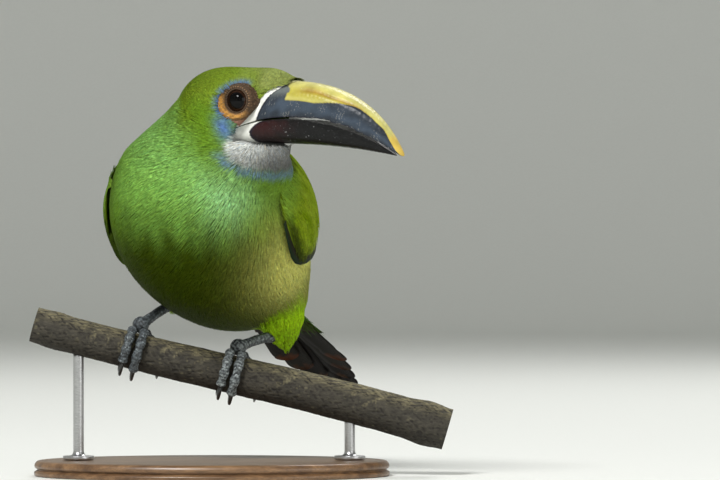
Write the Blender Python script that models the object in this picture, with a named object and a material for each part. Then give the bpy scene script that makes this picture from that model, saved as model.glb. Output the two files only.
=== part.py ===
"""A life-size toucanet gripping a short cut branch, which two rods carry over a flat oval base.

Every size below is in millimetres, and add_mesh() turns them into metres. +Z is up, +X runs along the
perch towards its thick end, and the bird faces -Y, the front, with its head turned to its own left,
along +X. The origin is the middle of the base's underside.
"""

import math

import bmesh
import bpy
import mathutils
import numpy as np

MM = 0.001
GAP = 0.35  # clearance left wherever two solids meet

# ---- driving dimensions -----------------------------------------------------------------------------
BASE_RADII = (80.0, 54.0)  # the oval base's half length and half width
BASE_THICK = 7.0
ROD_RADIUS = 2.4
ROD_X = (-60.0, 62.0)  # where the two rods meet the perch
ROD_FLANGE = (7.0, 2.0)  # radius and height of the foot of each rod

PERCH_X = (-80.0, 106.0)
PERCH_HEIGHT = 48.0  # the perch's middle line above the floor at x = 0
PERCH_SLOPE = -0.268
PERCH_RADII = (7.9, 9.3)

HEAD_YAW = math.radians(-28)  # the bill's heading from +X, a little towards the front
HEAD_PITCH = math.radians(-4)
HEAD_PLACE = (17.6, -42.0, PERCH_HEIGHT + 121.7)  # between the eyes
TRUNK_YAW = math.radians(21)
TRUNK_PITCH = math.radians(-28)
TRUNK_PLACE = (1.6, 0.0, PERCH_HEIGHT + 61.5)
TAIL_YAW = math.radians(25)
TAIL_PITCH = math.radians(-26)
TAIL_LENGTH = 104.0

EYE_RADIUS = 5.7
EYE_OUT = 12.4  # eyeball's centre from the head's middle plane
EYE_FORWARD = 2.8
EYE_UP = -2.4
BILL_HALF_WIDTH = 11.6
WING_X = (34.0, -77.0)  # the folded wing's bend and tip along the trunk, from its middle
TARSUS_RADIUS = 2.1
TOE_RADIUS = 2.2

COLOURS = {
    "plumage": (0.22, 0.42, 0.03),
    "bill_horn": (0.03, 0.03, 0.035),
    "eye": (0.02, 0.01, 0.008),
    "flight_feathers": (0.06, 0.09, 0.03),
    "leg_scales": (0.18, 0.21, 0.23),
    "claw_horn": (0.05, 0.05, 0.05),
    "bark": (0.21, 0.17, 0.14),
    "stand_wood": (0.36, 0.24, 0.14),
    "stand_steel": (0.55, 0.55, 0.56),
}


# ---- vectors ------------------------------------------------------------------------------------------
def heading(yaw, pitch):
    """Unit vector that points yaw round from +X and pitch above level."""
    return np.array([math.cos(yaw) * math.cos(pitch), math.sin(yaw) * math.cos(pitch), math.sin(pitch)])


def unit(vector):
    return vector / np.linalg.norm(vector)


def smooth_step(t):
    t = np.clip(t, 0.0, 1.0)
    return t * t * (3 - 2 * t)


def bezier(points, t):
    """Points along the cubic curve with these four control points."""
    a, b, c, d = (np.array(p, float) for p in points)
    t = np.asarray(t, float)[..., None]
    return a * (1 - t) ** 3 + 3 * b * t * (1 - t) ** 2 + 3 * c * t * t * (1 - t) + d * t**3


def smooth_path(points, count):
    """count places spread along the smooth curve that passes through the points."""
    points = np.array(points, float)
    before = 2 * points[0] - points[1]
    after = 2 * points[-1] - points[-2]
    padded = np.vstack([before, points, after])
    found = []
    for s in np.linspace(0, len(points) - 1, count):
        i = min(int(s), len(points) - 2)
        t = s - i
        p0, p1, p2, p3 = padded[i : i + 4]
        found.append(
            0.5 * (2 * p1 + (p2 - p0) * t + (2 * p0 - 5 * p1 + 4 * p2 - p3) * t**2)
            + 0.5 * (3 * p1 - p0 - 3 * p2 + p3) * t**3
        )
    return np.array(found)


class Frame:
    """An origin with forward, left and up axes of its own."""

    def __init__(self, place, forward):
        self.place = np.array(place, float)
        self.forward = forward
        self.left = unit(np.cross([0.0, 0.0, 1.0], forward))
        self.up = np.cross(forward, self.left)

    def at(self, forward, left, up):
        return self.place + forward * self.forward + left * self.left + up * self.up

    @property
    def axes(self):
        return np.array([self.forward, self.left, self.up])


HEAD = Frame(HEAD_PLACE, heading(HEAD_YAW, HEAD_PITCH))
TRUNK = Frame(TRUNK_PLACE, -heading(math.pi / 2 - TRUNK_YAW, TRUNK_PITCH))
TAIL_AXIS = heading(math.pi / 2 - TAIL_YAW, TAIL_PITCH)


# ---- the body's rounded masses ----------------------------------------------------------------------
def from_ellipsoid(points, frame, place, radii):
    """Signed distance, near enough, from an ellipsoid that lies along a frame's axes."""
    local = (points - frame.at(*place)) @ frame.axes.T
    radii = np.array(radii, float)
    inner = np.linalg.norm(local / radii, axis=-1)
    slope = np.linalg.norm(local / radii**2, axis=-1) + 1e-9
    return inner * (inner - 1) / slope


def from_cone(points, start, end, start_radius, end_radius):
    """Signed distance from a round-ended cone."""
    along = end - start
    share = np.clip((points - start) @ along / (along @ along), 0, 1)
    nearest = start + share[..., None] * along
    return np.linalg.norm(points - nearest, axis=-1) - (start_radius + (end_radius - start_radius) * share)


def merge(first, second, blend):
    """The union of two distances, with the crease between them filled over the blend length."""
    share = np.clip(0.5 + 0.5 * (second - first) / blend, 0, 1)
    return second + (first - second) * share - blend * share * (1 - share)


def carve(solid, hollow, blend):
    """The solid with the hollow taken out, and the rim between them rounded."""
    return -merge(-solid, hollow, blend)


def head_distance(points):
    cranium = from_ellipsoid(points, HEAD, (-4, 0, -4.6), (20, 17.2, 14.6))
    forehead = from_ellipsoid(points, HEAD, (10.5, 0, 1.5), (14.5, 9.4, 11.4))
    cheeks = from_ellipsoid(points, HEAD, (-11, 0, -14), (13.5, 14.2, 14))
    bill_root = from_ellipsoid(points, HEAD, (11, 0, -9), (15, 7, 15))
    chin = from_ellipsoid(points, HEAD, (6, 0, -25), (15, 11, 11))
    head = merge(cranium, forehead, 8)
    head = merge(head, cheeks, 8)
    head = merge(head, bill_root, 3)
    head = merge(head, chin, 7)
    for side in (1, -1):
        dish = from_ellipsoid(points, HEAD, (1, side * (EYE_OUT + 33.2), EYE_UP - 1.5), (30, 30, 30))
        head = carve(head, dish, 1.5)
    return head


def trunk_distance(points):
    breast = from_ellipsoid(points, TRUNK, (12, 0, 0), (42, 43, 39.5))
    belly = from_ellipsoid(points, TRUNK, (-15, 0, -4), (42, 38.5, 32))
    rump = from_ellipsoid(points, TRUNK, (-42, 0, -1), (30, 21, 18))
    return merge(merge(breast, belly, 14), rump, 14)


def body_distance(points):
    """The feathered head, neck and trunk as one smooth form."""
    shoulders = TRUNK.at(35, -2, 6)
    neck = from_cone(points, HEAD.at(-13, -2, -10), shoulders, 19.5, 30)
    head_and_neck = merge(head_distance(points), neck, 12)
    return merge(head_and_neck, trunk_distance(points), 16)


def wing_bed_distance(points):
    """What the folded wings lie on: the body, with its rump filled out to carry their straight tips."""
    bed = from_ellipsoid(points, TRUNK, (-38, 0, 2), (66, 26, 20))
    return merge(body_distance(points), bed, 10)


# ---- rings along the body, from the bill's root to the tail's ----------------------------------------
# The head's rings fan out round a hinge before the throat, from facing the bill to facing down. The
# next ones turn to face the tail, round the line where their first and last plane meet behind the
# back. The last ones are parallel.
THROAT_HINGE = HEAD.at(27, 0, -41)
FAN_START, FAN_END = math.radians(5), math.radians(80)
FAN_SHARE, TURN_SHARE = 0.42, 0.80  # where the fan and the turn end, as shares of the way
HEAD_END, NECK_END = 0.32, 0.45  # where the head and the neck end
TURN_END_X, TRUNK_END_X = -28.0, -64.0  # along the trunk, from its middle
TWIST_FROM, TWIST_TO = 0.2, 0.62  # the neck turns the back's side of the rings between these


def turned(vector, axis, angle):
    """The vector turned about a unit axis."""
    return (
        vector * math.cos(angle)
        + np.cross(axis, vector) * math.sin(angle)
        + axis * (axis @ vector) * (1 - math.cos(angle))
    )


def fan_frame(angle):
    """Centre, direction of travel and the back's side of a ring of the fan."""
    back = math.cos(angle) * HEAD.up - math.sin(angle) * HEAD.forward
    travel = -math.sin(angle) * HEAD.up - math.cos(angle) * HEAD.forward
    reach = 33 + 12 * float(smooth_step(angle / FAN_END))
    return THROAT_HINGE + reach * back, travel, back


def side_of_back(travel):
    return unit(TRUNK.up - (TRUNK.up @ travel) * travel)


def body_ring_frame(way):
    """Centre, direction of travel and the direction of the back, at a share of the way to the tail."""
    fan_centre, fan_travel, fan_back = fan_frame(FAN_END)
    trunk_back = side_of_back(fan_travel)
    twist = math.atan2(np.cross(fan_back, trunk_back) @ fan_travel, fan_back @ trunk_back)
    twisted = twist * float(smooth_step((way - TWIST_FROM) / (TWIST_TO - TWIST_FROM)))
    if way <= FAN_SHARE:
        centre, travel, back = fan_frame(FAN_START + (FAN_END - FAN_START) * way / FAN_SHARE)
        return centre, travel, turned(back, travel, twisted)
    last = -TRUNK.forward
    if way <= TURN_SHARE:
        turn = (way - FAN_SHARE) / (TURN_SHARE - FAN_SHARE)
        blend = (1 - turn) * fan_travel + turn * last
        level = (1 - turn) * (fan_travel @ fan_centre) + turn * (last @ TRUNK.at(TURN_END_X, 0, 0))
        size = np.linalg.norm(blend)
        travel, level = blend / size, level / size
        middle = TRUNK.at(22, 0, 6)
        route = [fan_centre, (fan_centre + middle) / 2, middle, TRUNK.at(TURN_END_X, 0, 0)]
        centre = bezier(route, turn)
        centre = centre - (centre @ travel - level) * travel
        return centre, travel, turned(side_of_back(travel), travel, twisted - twist)
    along = (way - TURN_SHARE) / (1 - TURN_SHARE)
    return TRUNK.at(TURN_END_X + along * (TRUNK_END_X - TURN_END_X), 0, -along), last, TRUNK.up


def body_ring(way, sides, grow=0.0, distance=body_distance):
    """One closed ring of points on the body's surface, grown outwards by grow."""
    centre, travel, back = body_ring_frame(way)
    left = np.cross(travel, back)
    angles = np.arange(sides) * 2 * math.pi / sides
    spokes = np.cos(angles)[:, None] * back + np.sin(angles)[:, None] * left
    near, far = np.zeros(sides), np.full(sides, 75.0)
    for _ in range(26):
        middle = (near + far) / 2
        inside = distance(centre + middle[:, None] * spokes) < 0
        near = np.where(inside, middle, near)
        far = np.where(inside, far, middle)
    return centre + (near + grow)[:, None] * spokes


# ---- Blender helpers ------------------------------------------------------------------------------------
def clear_scene():
    for obj in list(bpy.data.objects):
        bpy.data.objects.remove(obj)


def material(name, roughness=0.6, metallic=0.0):
    found = bpy.data.materials.get(name)
    if found is None:
        found = bpy.data.materials.new(name)
        found.use_nodes = True
        shader = found.node_tree.nodes["Principled BSDF"]
        shader.inputs["Base Color"].default_value = (*COLOURS[name], 1)
        shader.inputs["Roughness"].default_value = roughness
        shader.inputs["Metallic"].default_value = metallic
    return found


def add_mesh(name, mesh_maker, finish, **kinds):
    """A new object whose mesh mesh_maker(bm) builds in millimetres."""
    mesh = bpy.data.meshes.new(name)
    bm = bmesh.new()
    mesh_maker(bm)
    bmesh.ops.scale(bm, vec=(MM, MM, MM), verts=bm.verts)
    bmesh.ops.recalc_face_normals(bm, faces=bm.faces)
    bm.to_mesh(mesh)
    bm.free()
    mesh.shade_smooth()
    mesh.set_sharp_from_angle(angle=math.radians(40))
    mesh.materials.append(material(finish, **kinds))
    obj = bpy.data.objects.new(name, mesh)
    bpy.context.scene.collection.objects.link(obj)
    return obj


def add_loft(name, rings, finish, **kinds):
    """A closed solid through rings of equal length, with a flat cap at each end."""

    def build(bm):
        loops = [[bm.verts.new(p) for p in ring] for ring in rings]
        for low, high in zip(loops, loops[1:]):
            for i in range(len(low)):
                j = (i + 1) % len(low)
                bm.faces.new((low[i], low[j], high[j], high[i]))
        bm.faces.new(loops[0])
        bm.faces.new(loops[-1])

    return add_mesh(name, build, finish, **kinds)


def hide_as_cutter(obj):
    obj.hide_render = True
    obj.display_type = "WIRE"
    return obj


def cut(obj, cutter):
    """Takes the cutter's shape out of obj."""
    modifier = obj.modifiers.new("cut_" + cutter.name, "BOOLEAN")
    modifier.operation = "DIFFERENCE"
    modifier.solver = "EXACT"
    modifier.object = cutter


def tube_rings(path, radii, sides, flatten=1.0, up=(0.0, 0.0, 1.0)):
    """Rings across a path, round or flattened along the side that faces up."""
    path = np.array(path, float)
    radii = np.broadcast_to(np.asarray(radii, float), len(path))
    ways = np.gradient(path, axis=0)
    rings = []
    for centre, way, radius in zip(path, ways, radii):
        way = unit(way)
        side = unit(np.cross(way, up))
        top = np.cross(side, way)
        angles = np.arange(sides) * 2 * math.pi / sides
        rings.append(
            centre + radius * (np.cos(angles)[:, None] * side + flatten * np.sin(angles)[:, None] * top)
        )
    return rings


# ---- bill ------------------------------------------------------------------------------------------------
# Each edge is a curve in the head's middle plane: (forward, up) from the point between the eyes.
# They start one behind the other, so that the bill's base slants past the eye.
CULMEN = [(12, 6.6), (34, 10.2), (61.5, 7.2), (79.3, -21.6)]
GAPE = [(-1, -14.8), (20, -5.2), (50, -4.9), (78.4, -22.2)]
GONYS = [(-4, -21.6), (24, -18.9), (50, -18.6), (76.5, -21.8)]


BILL_STATIONS = 15
BILL_ROUNDNESS = 0.72
LOWER_NARROWING = 0.95  # the lower half's width beside the upper half's
BILL_ROOT_STATIONS = 7  # as many of them as the head's feathers can reach


def bill_half_width(t):
    return 0.7 + (BILL_HALF_WIDTH - 0.7) * (1 - t**2.3) ** 0.8


def bill_rings(outer_edge, inner_edge, narrowing, sides, grow=0.0, stations=BILL_STATIONS):
    """Half-round sections between the gape and the bill's outer edge.

    Across a section at angle a, the side way is width * cos(a) ** BILL_ROUNDNESS and the way out from
    the gape is depth * sin(a) ** BILL_ROUNDNESS, so a roundness under 1 makes the section boxier.
    """
    rings = []
    for t in np.linspace(0, 1, BILL_STATIONS)[:stations]:
        outer = bezier(outer_edge, t)
        inner = bezier(inner_edge, t)
        width = bill_half_width(t) * narrowing + grow
        depth = outer - inner
        length = max(np.linalg.norm(depth), 0.8)
        depth = unit(depth)
        angles = np.linspace(0, math.pi, sides)
        across = width * np.sign(np.cos(angles)) * np.abs(np.cos(angles)) ** BILL_ROUNDNESS
        out = -grow + (length + 2 * grow) * np.abs(np.sin(angles)) ** BILL_ROUNDNESS
        places = inner + out[:, None] * depth
        rings.append(np.array([HEAD.at(p[0], side, p[1]) for p, side in zip(places, across)]))
    return rings


def lower_gape():
    """The lower half's top edge, a little under the upper half's bottom edge."""
    return [(x, z - GAP - 0.1) for x, z in GAPE]


def make_bill(sockets):
    """Both halves; the upper one's root is hollowed beside the eyeballs."""
    upper = add_loft("bill_upper", bill_rings(CULMEN, GAPE, 1.0, 15), "bill_horn", roughness=0.3)
    for cutter in sockets:
        cut(upper, cutter)
    lower_tip = [*GONYS[:3], (75.7, -22.0)]
    gape_end = [*lower_gape()[:3], (75.1, -21.5)]
    lower = bill_rings(lower_tip, gape_end, LOWER_NARROWING, 13)
    add_loft("bill_lower", lower, "bill_horn", roughness=0.3)


def bill_cutters():
    """The roots of both halves grown by the gap, which open the head for the bill."""
    cutters = []
    for name, edge in (("cutter_bill_upper", CULMEN), ("cutter_bill_lower", GONYS)):
        rings = bill_rings(edge, GAPE, 1.0, 13, grow=GAP, stations=BILL_ROOT_STATIONS)
        rings[0] = rings[0] - GAP * HEAD.forward
        cutters.append(hide_as_cutter(add_loft(name, rings, "bill_horn")))
    return cutters


# ---- eyes ------------------------------------------------------------------------------------------------
def add_ball(name, centre, radius, finish, segments=14, **kinds):
    def build(bm):
        bmesh.ops.create_uvsphere(bm, u_segments=segments, v_segments=segments // 2 + 2, radius=radius)
        bmesh.ops.translate(bm, vec=centre, verts=bm.verts)

    return add_mesh(name, build, finish, **kinds)


def make_eyes():
    """Two eyeballs, and the cutters that make their sockets."""
    cutters = []
    for name, side in (("eye_left", 1), ("eye_right", -1)):
        centre = HEAD.at(EYE_FORWARD, side * EYE_OUT, EYE_UP)
        add_ball(name, centre, EYE_RADIUS, "eye", roughness=0.05)
        cutters.append(hide_as_cutter(add_ball("cutter_" + name, centre, EYE_RADIUS + GAP, "eye")))
    return cutters


# ---- head, neck and trunk ----------------------------------------------------------------------------------
BODY_SIDES = 26


def body_piece(name, start, end, count, grow=0.0):
    """A length of the body between two shares of the way, closed by flat caps."""
    rings = [body_ring(way, BODY_SIDES, grow) for way in np.linspace(start, end, count)]
    return add_loft(name, rings, "plumage", roughness=0.85)


def make_body(bill, sockets):
    half_cut = 0.0022  # half of the thin cut between two lengths, as a share of the way
    head = body_piece("head", 0.0, HEAD_END - half_cut, 15)
    for cutter in [*bill, *sockets]:
        cut(head, cutter)
    body_piece("neck", HEAD_END + half_cut, NECK_END - half_cut, 7)
    trunk = body_piece("trunk", NECK_END + half_cut, 1.0, 15)
    return trunk, hide_as_cutter(body_piece("cutter_body", NECK_END, 1.003, 15, grow=GAP))


# ---- wings --------------------------------------------------------------------------------------------------
WING_CLEAR = 1.8  # keeps the flat facets of wing and body apart


def wing_edges(share):
    """Angles from the back's middle round to the wing's upper and lower edge, at a share of its length."""
    nose = math.sqrt(1 - (1 - min(share / 0.3, 1)) ** 2)
    upper = 74 - 52 * nose - 3 * share
    drop = max(share - 0.27, 0) / 0.73
    lobe = 10 * max(1 - ((share - 0.24) / 0.26) ** 2, 0)  # the coverts hang lowest over the forearm
    lower = 78 + 23 * nose - 76 * drop**1.6 + lobe
    return math.radians(upper), math.radians(lower)


def on_wing_bed(centre, spokes):
    """Where each spoke from the trunk's middle line comes clear of the wing bed."""
    near, far = np.zeros(len(spokes)), np.full(len(spokes), 75.0)
    for _ in range(26):
        middle = (near + far) / 2
        inside = wing_bed_distance(centre + middle[:, None] * spokes) < WING_CLEAR
        near = np.where(inside, middle, near)
        far = np.where(inside, far, middle)
    return far


def wing_thickness(share, across):
    """Thickest over the forearm, thin at the edges and at the tips of the long feathers."""
    arm = 4.0 * math.exp(-(((share - 0.24) / 0.28) ** 2))
    nose = min(share / 0.08, 1)
    return 0.8 + nose * (0.9 + arm) * np.clip(1 - across**2, 0, 1) ** 0.6


def make_wing(name, side, stations=15, columns=8):
    spread = np.linspace(-1, 1, columns)
    rings = []
    for share in np.linspace(0, 1, stations):
        upper, lower = wing_edges(share)
        angles = (upper + lower) / 2 + spread * (lower - upper) / 2
        spokes = np.cos(angles)[:, None] * TRUNK.up + side * np.sin(angles)[:, None] * TRUNK.left
        centre = TRUNK.at(WING_X[0] + share * (WING_X[1] - WING_X[0]), 0, 2)
        reach = on_wing_bed(centre, spokes)
        inner = centre + reach[:, None] * spokes
        outer = inner + wing_thickness(share, spread)[:, None] * spokes
        rings.append(np.vstack([inner, outer[::-1]]))
    return add_loft(name, rings, "plumage", roughness=0.8)


# ---- tail ----------------------------------------------------------------------------------------------------
def tail_half_width(share):
    """Widens from the root to the short outer feathers' tips, then rounds off to the middle pair's."""
    spread = 13 + 6.6 * float(smooth_step(share / 0.48))
    stepped = max(share - 0.48, 0) / 0.52
    return 0.8 + spread * (1 - stepped**2.4) ** 0.6


def tail_half_thickness(share):
    return 0.6 + 0.5 * (1 - share) + 8.8 * math.exp(-share / 0.15)


def make_tail():
    centre, travel, _ = body_ring_frame(1.0)
    side = unit(np.cross(TAIL_AXIS, [0, 0, 1]))
    up = np.cross(side, TAIL_AXIS)
    root = centre + 2 * GAP * travel
    angles = np.arange(16) * 2 * math.pi / 16
    rings = []
    for share in [0, 0.06, 0.14, 0.24, 0.36, 0.48, 0.6, 0.72, 0.82, 0.9, 0.95, 0.98, 1]:
        arch = 0.006 * (tail_half_width(share) * np.cos(angles)) ** 2  # the fan is hollow underneath
        offsets = tail_half_width(share) * np.cos(angles)[:, None] * side
        offsets = offsets + (tail_half_thickness(share) * np.sin(angles) - arch)[:, None] * up
        rings.append(root + share * TAIL_LENGTH * TAIL_AXIS + offsets)
    rings[0] = rings[0] - ((rings[0] - root) @ travel)[:, None] * travel  # flush with the trunk's end
    return add_loft("tail", rings, "flight_feathers", roughness=0.6)


# ---- perch ---------------------------------------------------------------------------------------------------
def perch_centre(x):
    """The branch's middle line: a straight fall with a slight double bend."""
    bend = 1.6 * math.sin((x - 10) / 42.0)
    sway = 1.2 * math.sin(x / 55.0 + 0.8)
    return np.array([x, sway, PERCH_HEIGHT + PERCH_SLOPE * x + bend])


def perch_radius(x):
    share = (x - PERCH_X[0]) / (PERCH_X[1] - PERCH_X[0])
    knot = 0.9 * math.exp(-(((x - 96) / 6.0) ** 2)) + 0.5 * math.exp(-(((x + 70) / 5.0) ** 2))
    return PERCH_RADII[0] + (PERCH_RADII[1] - PERCH_RADII[0]) * share + knot


def perch_rings(grow=0.0, sides=16):
    places = np.linspace(*PERCH_X, 22)
    path = [perch_centre(x) for x in places]
    radii = [perch_radius(x) + grow for x in places]
    return tube_rings(path, radii, sides)


def make_perch():
    add_loft("perch_branch", perch_rings(), "bark", roughness=0.9)
    return hide_as_cutter(add_loft("cutter_perch", perch_rings(grow=GAP), "bark"))


def round_perch(x, angle, clear, along=0.0):
    """A place round the branch: angle from its top towards the front, clear of its bark."""
    x = x + along
    centre = perch_centre(x)
    axis = unit(perch_centre(x + 1) - perch_centre(x - 1))
    side = unit(np.cross(axis, [0, 0, 1]))
    top = np.cross(side, axis)
    reach = perch_radius(x) + GAP + clear
    return centre + reach * (math.cos(angle) * top + math.sin(angle) * side)


# ---- legs and feet ---------------------------------------------------------------------------------------------
# Toe name: angle round the branch where it starts and where its last joint lies (degrees from the top,
# the front positive), and the drift along the branch at its start and at its end.
TOES = {
    "toe_2": (32, 118, -2.9, -3.7),
    "toe_3": (30, 136, 2.4, 1.6),
    "toe_1": (-34, -104, -2.9, -4.6),
    "toe_4": (-34, -96, 3.0, 12.0),
}
# Each leg: its foot's place along the perch, its ankle, then the places and radii down the feathered
# thigh to the tip of its lowest feathers. Heights are above the perch's middle line at x = 0.
LEGS = {
    "right": {
        "foot_x": -35.0,
        "ankle": (-15.0, 19.0, 30.5),
        "thigh": [(-10, 18, 46), (-12, 18.5, 41), (-14.5, 19, 36), (-17.5, 18.5, 31), (-19.8, 18, 27)],
        "radii": (15.0, 12.5, 9.5, 5.5, 3.0),
    },
    "left": {
        "foot_x": 9.0,
        "ankle": (29.0, 19.0, 14.5),
        "thigh": [(28, 17, 43), (29.5, 18, 31), (31, 19, 20), (32.2, 20.5, 14), (33.3, 22, 7.5)],
        "radii": (15.5, 13.7, 9.5, 5.6, 1.5),
    },
}
PAD_RADIUS = 3.7


def make_toe(prefix, foot_x, name, pad_cutter):
    """One toe with three swollen joints, and the curved claw that carries on from it."""
    start, end, drift_start, drift_end = TOES[name]
    shares = np.linspace(0, 1, 9)
    angles = np.radians(start + (end - start) * shares)
    drifts = drift_start + (drift_end - drift_start) * shares
    path = [round_perch(foot_x, a, TOE_RADIUS, s) for a, s in zip(angles, drifts)]
    radii = TOE_RADIUS * (0.9 + 0.1 * np.cos(shares * 6 * math.pi))
    toe = add_loft(f"{prefix}_{name}", tube_rings(path, radii, 7, up=(1, 0, 0.1)), "leg_scales")
    cut(toe, pad_cutter)

    turn = math.copysign(1, end - start)
    shares = np.linspace(0, 1, 7)
    angles = np.radians(end + turn * (11 + 50 * shares))
    lifts = 1.5 + 2.8 * np.sin(shares * math.pi) - 0.6 * shares
    path = [round_perch(foot_x, a, c, drift_end) for a, c in zip(angles, lifts)]
    radii = 1.55 * (1 - 0.80 * shares**1.3)
    claw_name = f"{prefix}_{name.replace('toe', 'claw')}"
    add_loft(claw_name, tube_rings(path, radii, 6, up=(1, 0, 0.1)), "claw_horn", roughness=0.35)


def make_tarsus(name, ankle, pad_centre, pad_cutter):
    """The scaly shank from ankle to foot; returns the cutter that lets it into the feathers."""
    middle = (ankle + pad_centre) / 2 + [0, 0, 0.8]
    path = smooth_path([ankle, middle, pad_centre], 9)
    shares = np.linspace(0, 1, 9)
    radii = TARSUS_RADIUS * (0.93 + 0.45 * (1 - shares) ** 4 + 0.25 * shares**4)
    shank = add_loft(f"leg_{name}_tarsus", tube_rings(path, radii, 10), "leg_scales")
    cut(shank, pad_cutter)
    path[0] += GAP * unit(path[0] - path[1])
    grown = add_loft(f"cutter_tarsus_{name}", tube_rings(path, radii + GAP, 10), "leg_scales")
    return hide_as_cutter(grown)


def make_thigh(name, places, radii, cutters):
    """The feathered upper leg, rounded off where its lowest feathers end."""
    count = 13
    path = smooth_path(places, count)
    radii = np.interp(np.linspace(0, 1, count), np.linspace(0, 1, len(radii)), radii)
    thigh = add_loft(f"thigh_{name}", tube_rings(path, radii, 16, up=(0, 1, 0)), "plumage")
    for cutter in cutters:
        cut(thigh, cutter)


def make_leg(name, trunk, body_cutter):
    leg = LEGS[name]
    prefix = f"foot_{name}"
    lift = np.array([0, 0, PERCH_HEIGHT])
    pad_centre = round_perch(leg["foot_x"], 0, PAD_RADIUS)
    add_ball(f"{prefix}_pad", pad_centre, PAD_RADIUS, "leg_scales", segments=10)
    grown_pad = add_ball(f"cutter_{prefix}_pad", pad_centre, PAD_RADIUS + GAP, "leg_scales", segments=10)
    pad_cutter = hide_as_cutter(grown_pad)
    tarsus_cutter = make_tarsus(name, lift + leg["ankle"], pad_centre, pad_cutter)
    cut(trunk, tarsus_cutter)
    make_thigh(name, lift + leg["thigh"], leg["radii"], [tarsus_cutter, body_cutter])
    for toe in TOES:
        make_toe(prefix, leg["foot_x"], toe, pad_cutter)


# ---- stand ---------------------------------------------------------------------------------------------------
def make_stand(perch_cutter):
    """An oval base with a rounded rim, and two rods with wide feet that carry the perch."""
    oval = mathutils.Matrix.LocRotScale(
        (0, 0, BASE_THICK / 2), None, (BASE_RADII[0], BASE_RADII[1], 1)
    )

    def build_base(bm):
        bmesh.ops.create_cone(
            bm, cap_ends=True, segments=48, radius1=1, radius2=1, depth=BASE_THICK, matrix=oval
        )

    base = add_mesh("stand_base", build_base, "stand_wood", roughness=0.4)
    bevel = base.modifiers.new("rounded_rim", "BEVEL")
    bevel.width = 2.0 * MM
    bevel.segments = 2
    bevel.limit_method = "ANGLE"

    angles = np.arange(20) * 2 * math.pi / 20
    circle = np.stack([np.cos(angles), np.sin(angles), np.zeros(20)], axis=1)
    flange_radius, flange_height = ROD_FLANGE
    for name, x in zip(("stand_rod_left", "stand_rod_right"), ROD_X):
        foot = perch_centre(x)
        top = BASE_THICK + flange_height
        profile = [
            (BASE_THICK + GAP, flange_radius),
            (top, flange_radius),
            (top + 1.2, ROD_RADIUS),
            (foot[2], ROD_RADIUS),
        ]
        rings = [[foot[0], foot[1], z] + radius * circle for z, radius in profile]
        rod = add_loft(name, rings, "stand_steel", roughness=0.3, metallic=1.0)
        cut(rod, perch_cutter)


def main():
    clear_scene()
    sockets = make_eyes()
    make_bill(sockets)
    trunk, body_cutter = make_body(bill_cutters(), sockets)
    make_wing("wing_left", 1)
    make_wing("wing_right", -1)
    make_tail()
    perch_cutter = make_perch()
    for name in LEGS:
        make_leg(name, trunk, body_cutter)
    make_stand(perch_cutter)


main()
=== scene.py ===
import math

import bpy
import numpy as np
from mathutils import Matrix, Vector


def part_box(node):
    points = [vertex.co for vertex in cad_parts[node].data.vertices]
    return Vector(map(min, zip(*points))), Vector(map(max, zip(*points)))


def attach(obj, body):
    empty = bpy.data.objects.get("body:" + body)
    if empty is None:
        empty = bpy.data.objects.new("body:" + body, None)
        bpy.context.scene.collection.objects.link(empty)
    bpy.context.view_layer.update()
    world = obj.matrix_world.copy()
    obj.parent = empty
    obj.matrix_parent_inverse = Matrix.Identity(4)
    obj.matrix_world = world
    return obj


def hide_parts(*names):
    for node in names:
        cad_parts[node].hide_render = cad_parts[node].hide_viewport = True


# A toucanet on a cut branch over a small stand. Lengths below are in millimetres, and makePiece turns
# them into metres. Colours are linear red, green and blue.
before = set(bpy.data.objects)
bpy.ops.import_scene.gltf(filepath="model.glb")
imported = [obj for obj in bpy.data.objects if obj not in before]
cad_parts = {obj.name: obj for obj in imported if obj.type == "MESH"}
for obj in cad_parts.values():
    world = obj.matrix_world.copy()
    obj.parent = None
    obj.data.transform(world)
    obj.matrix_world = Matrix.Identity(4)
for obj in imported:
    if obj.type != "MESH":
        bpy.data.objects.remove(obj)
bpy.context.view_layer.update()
millimetre = 0.001


# Vectors and curves. Points are arrays whose last axis holds x, y and z.
def lengthOf(vectors):
    return np.linalg.norm(vectors, axis=-1)


def unit(vectors):
    return vectors / np.maximum(lengthOf(vectors), 1e-9)[..., None]


def dot(first, second):
    return np.sum(first * second, axis=-1)


def ramp(value, low, high):  # 0 up to low, 1 from high, an S curve between
    share = np.clip((value - low) / (high - low), 0, 1)
    return share * share * (3 - 2 * share)


def falling(value, low, high):  # 1 up to low, 0 from high
    return 1 - ramp(value, low, high)


def bell(value, middle, width):  # 1 at the middle, falling off on both sides
    return np.exp(-(((value - middle) / width) ** 2))


def mix(first, second, share):  # from first to second as share goes from 0 to 1
    share = np.asarray(share)[..., None]
    return np.asarray(first) * (1 - share) + np.asarray(second) * share


def between(first, second, share):  # the same for plain numbers
    return first + (second - first) * share


def layered(palette, colour, layers):  # each layer is the name of a colour and how much it covers
    for name, share in layers:
        colour = mix(colour, palette[name], share)
    return colour


def roundAngles(count):  # evenly spaced over a full turn
    return np.arange(count) * 2 * math.pi / count


def circle(angles, first, second):  # directions that turn from the first towards the second
    angles = np.asarray(angles)[..., None]
    return np.cos(angles) * first + np.sin(angles) * second


def flattened(ways, normals):  # unit directions, with their part along the normals taken out
    return unit(ways - dot(ways, normals)[..., None] * normals)


def bezier(points, share):  # the cubic curve with four control points
    a, b, c, d = (np.array(point, float) for point in points)
    t = np.asarray(share, float)[..., None]
    return a * (1 - t) ** 3 + 3 * b * t * (1 - t) ** 2 + 3 * c * t * t * (1 - t) + d * t**3


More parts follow.
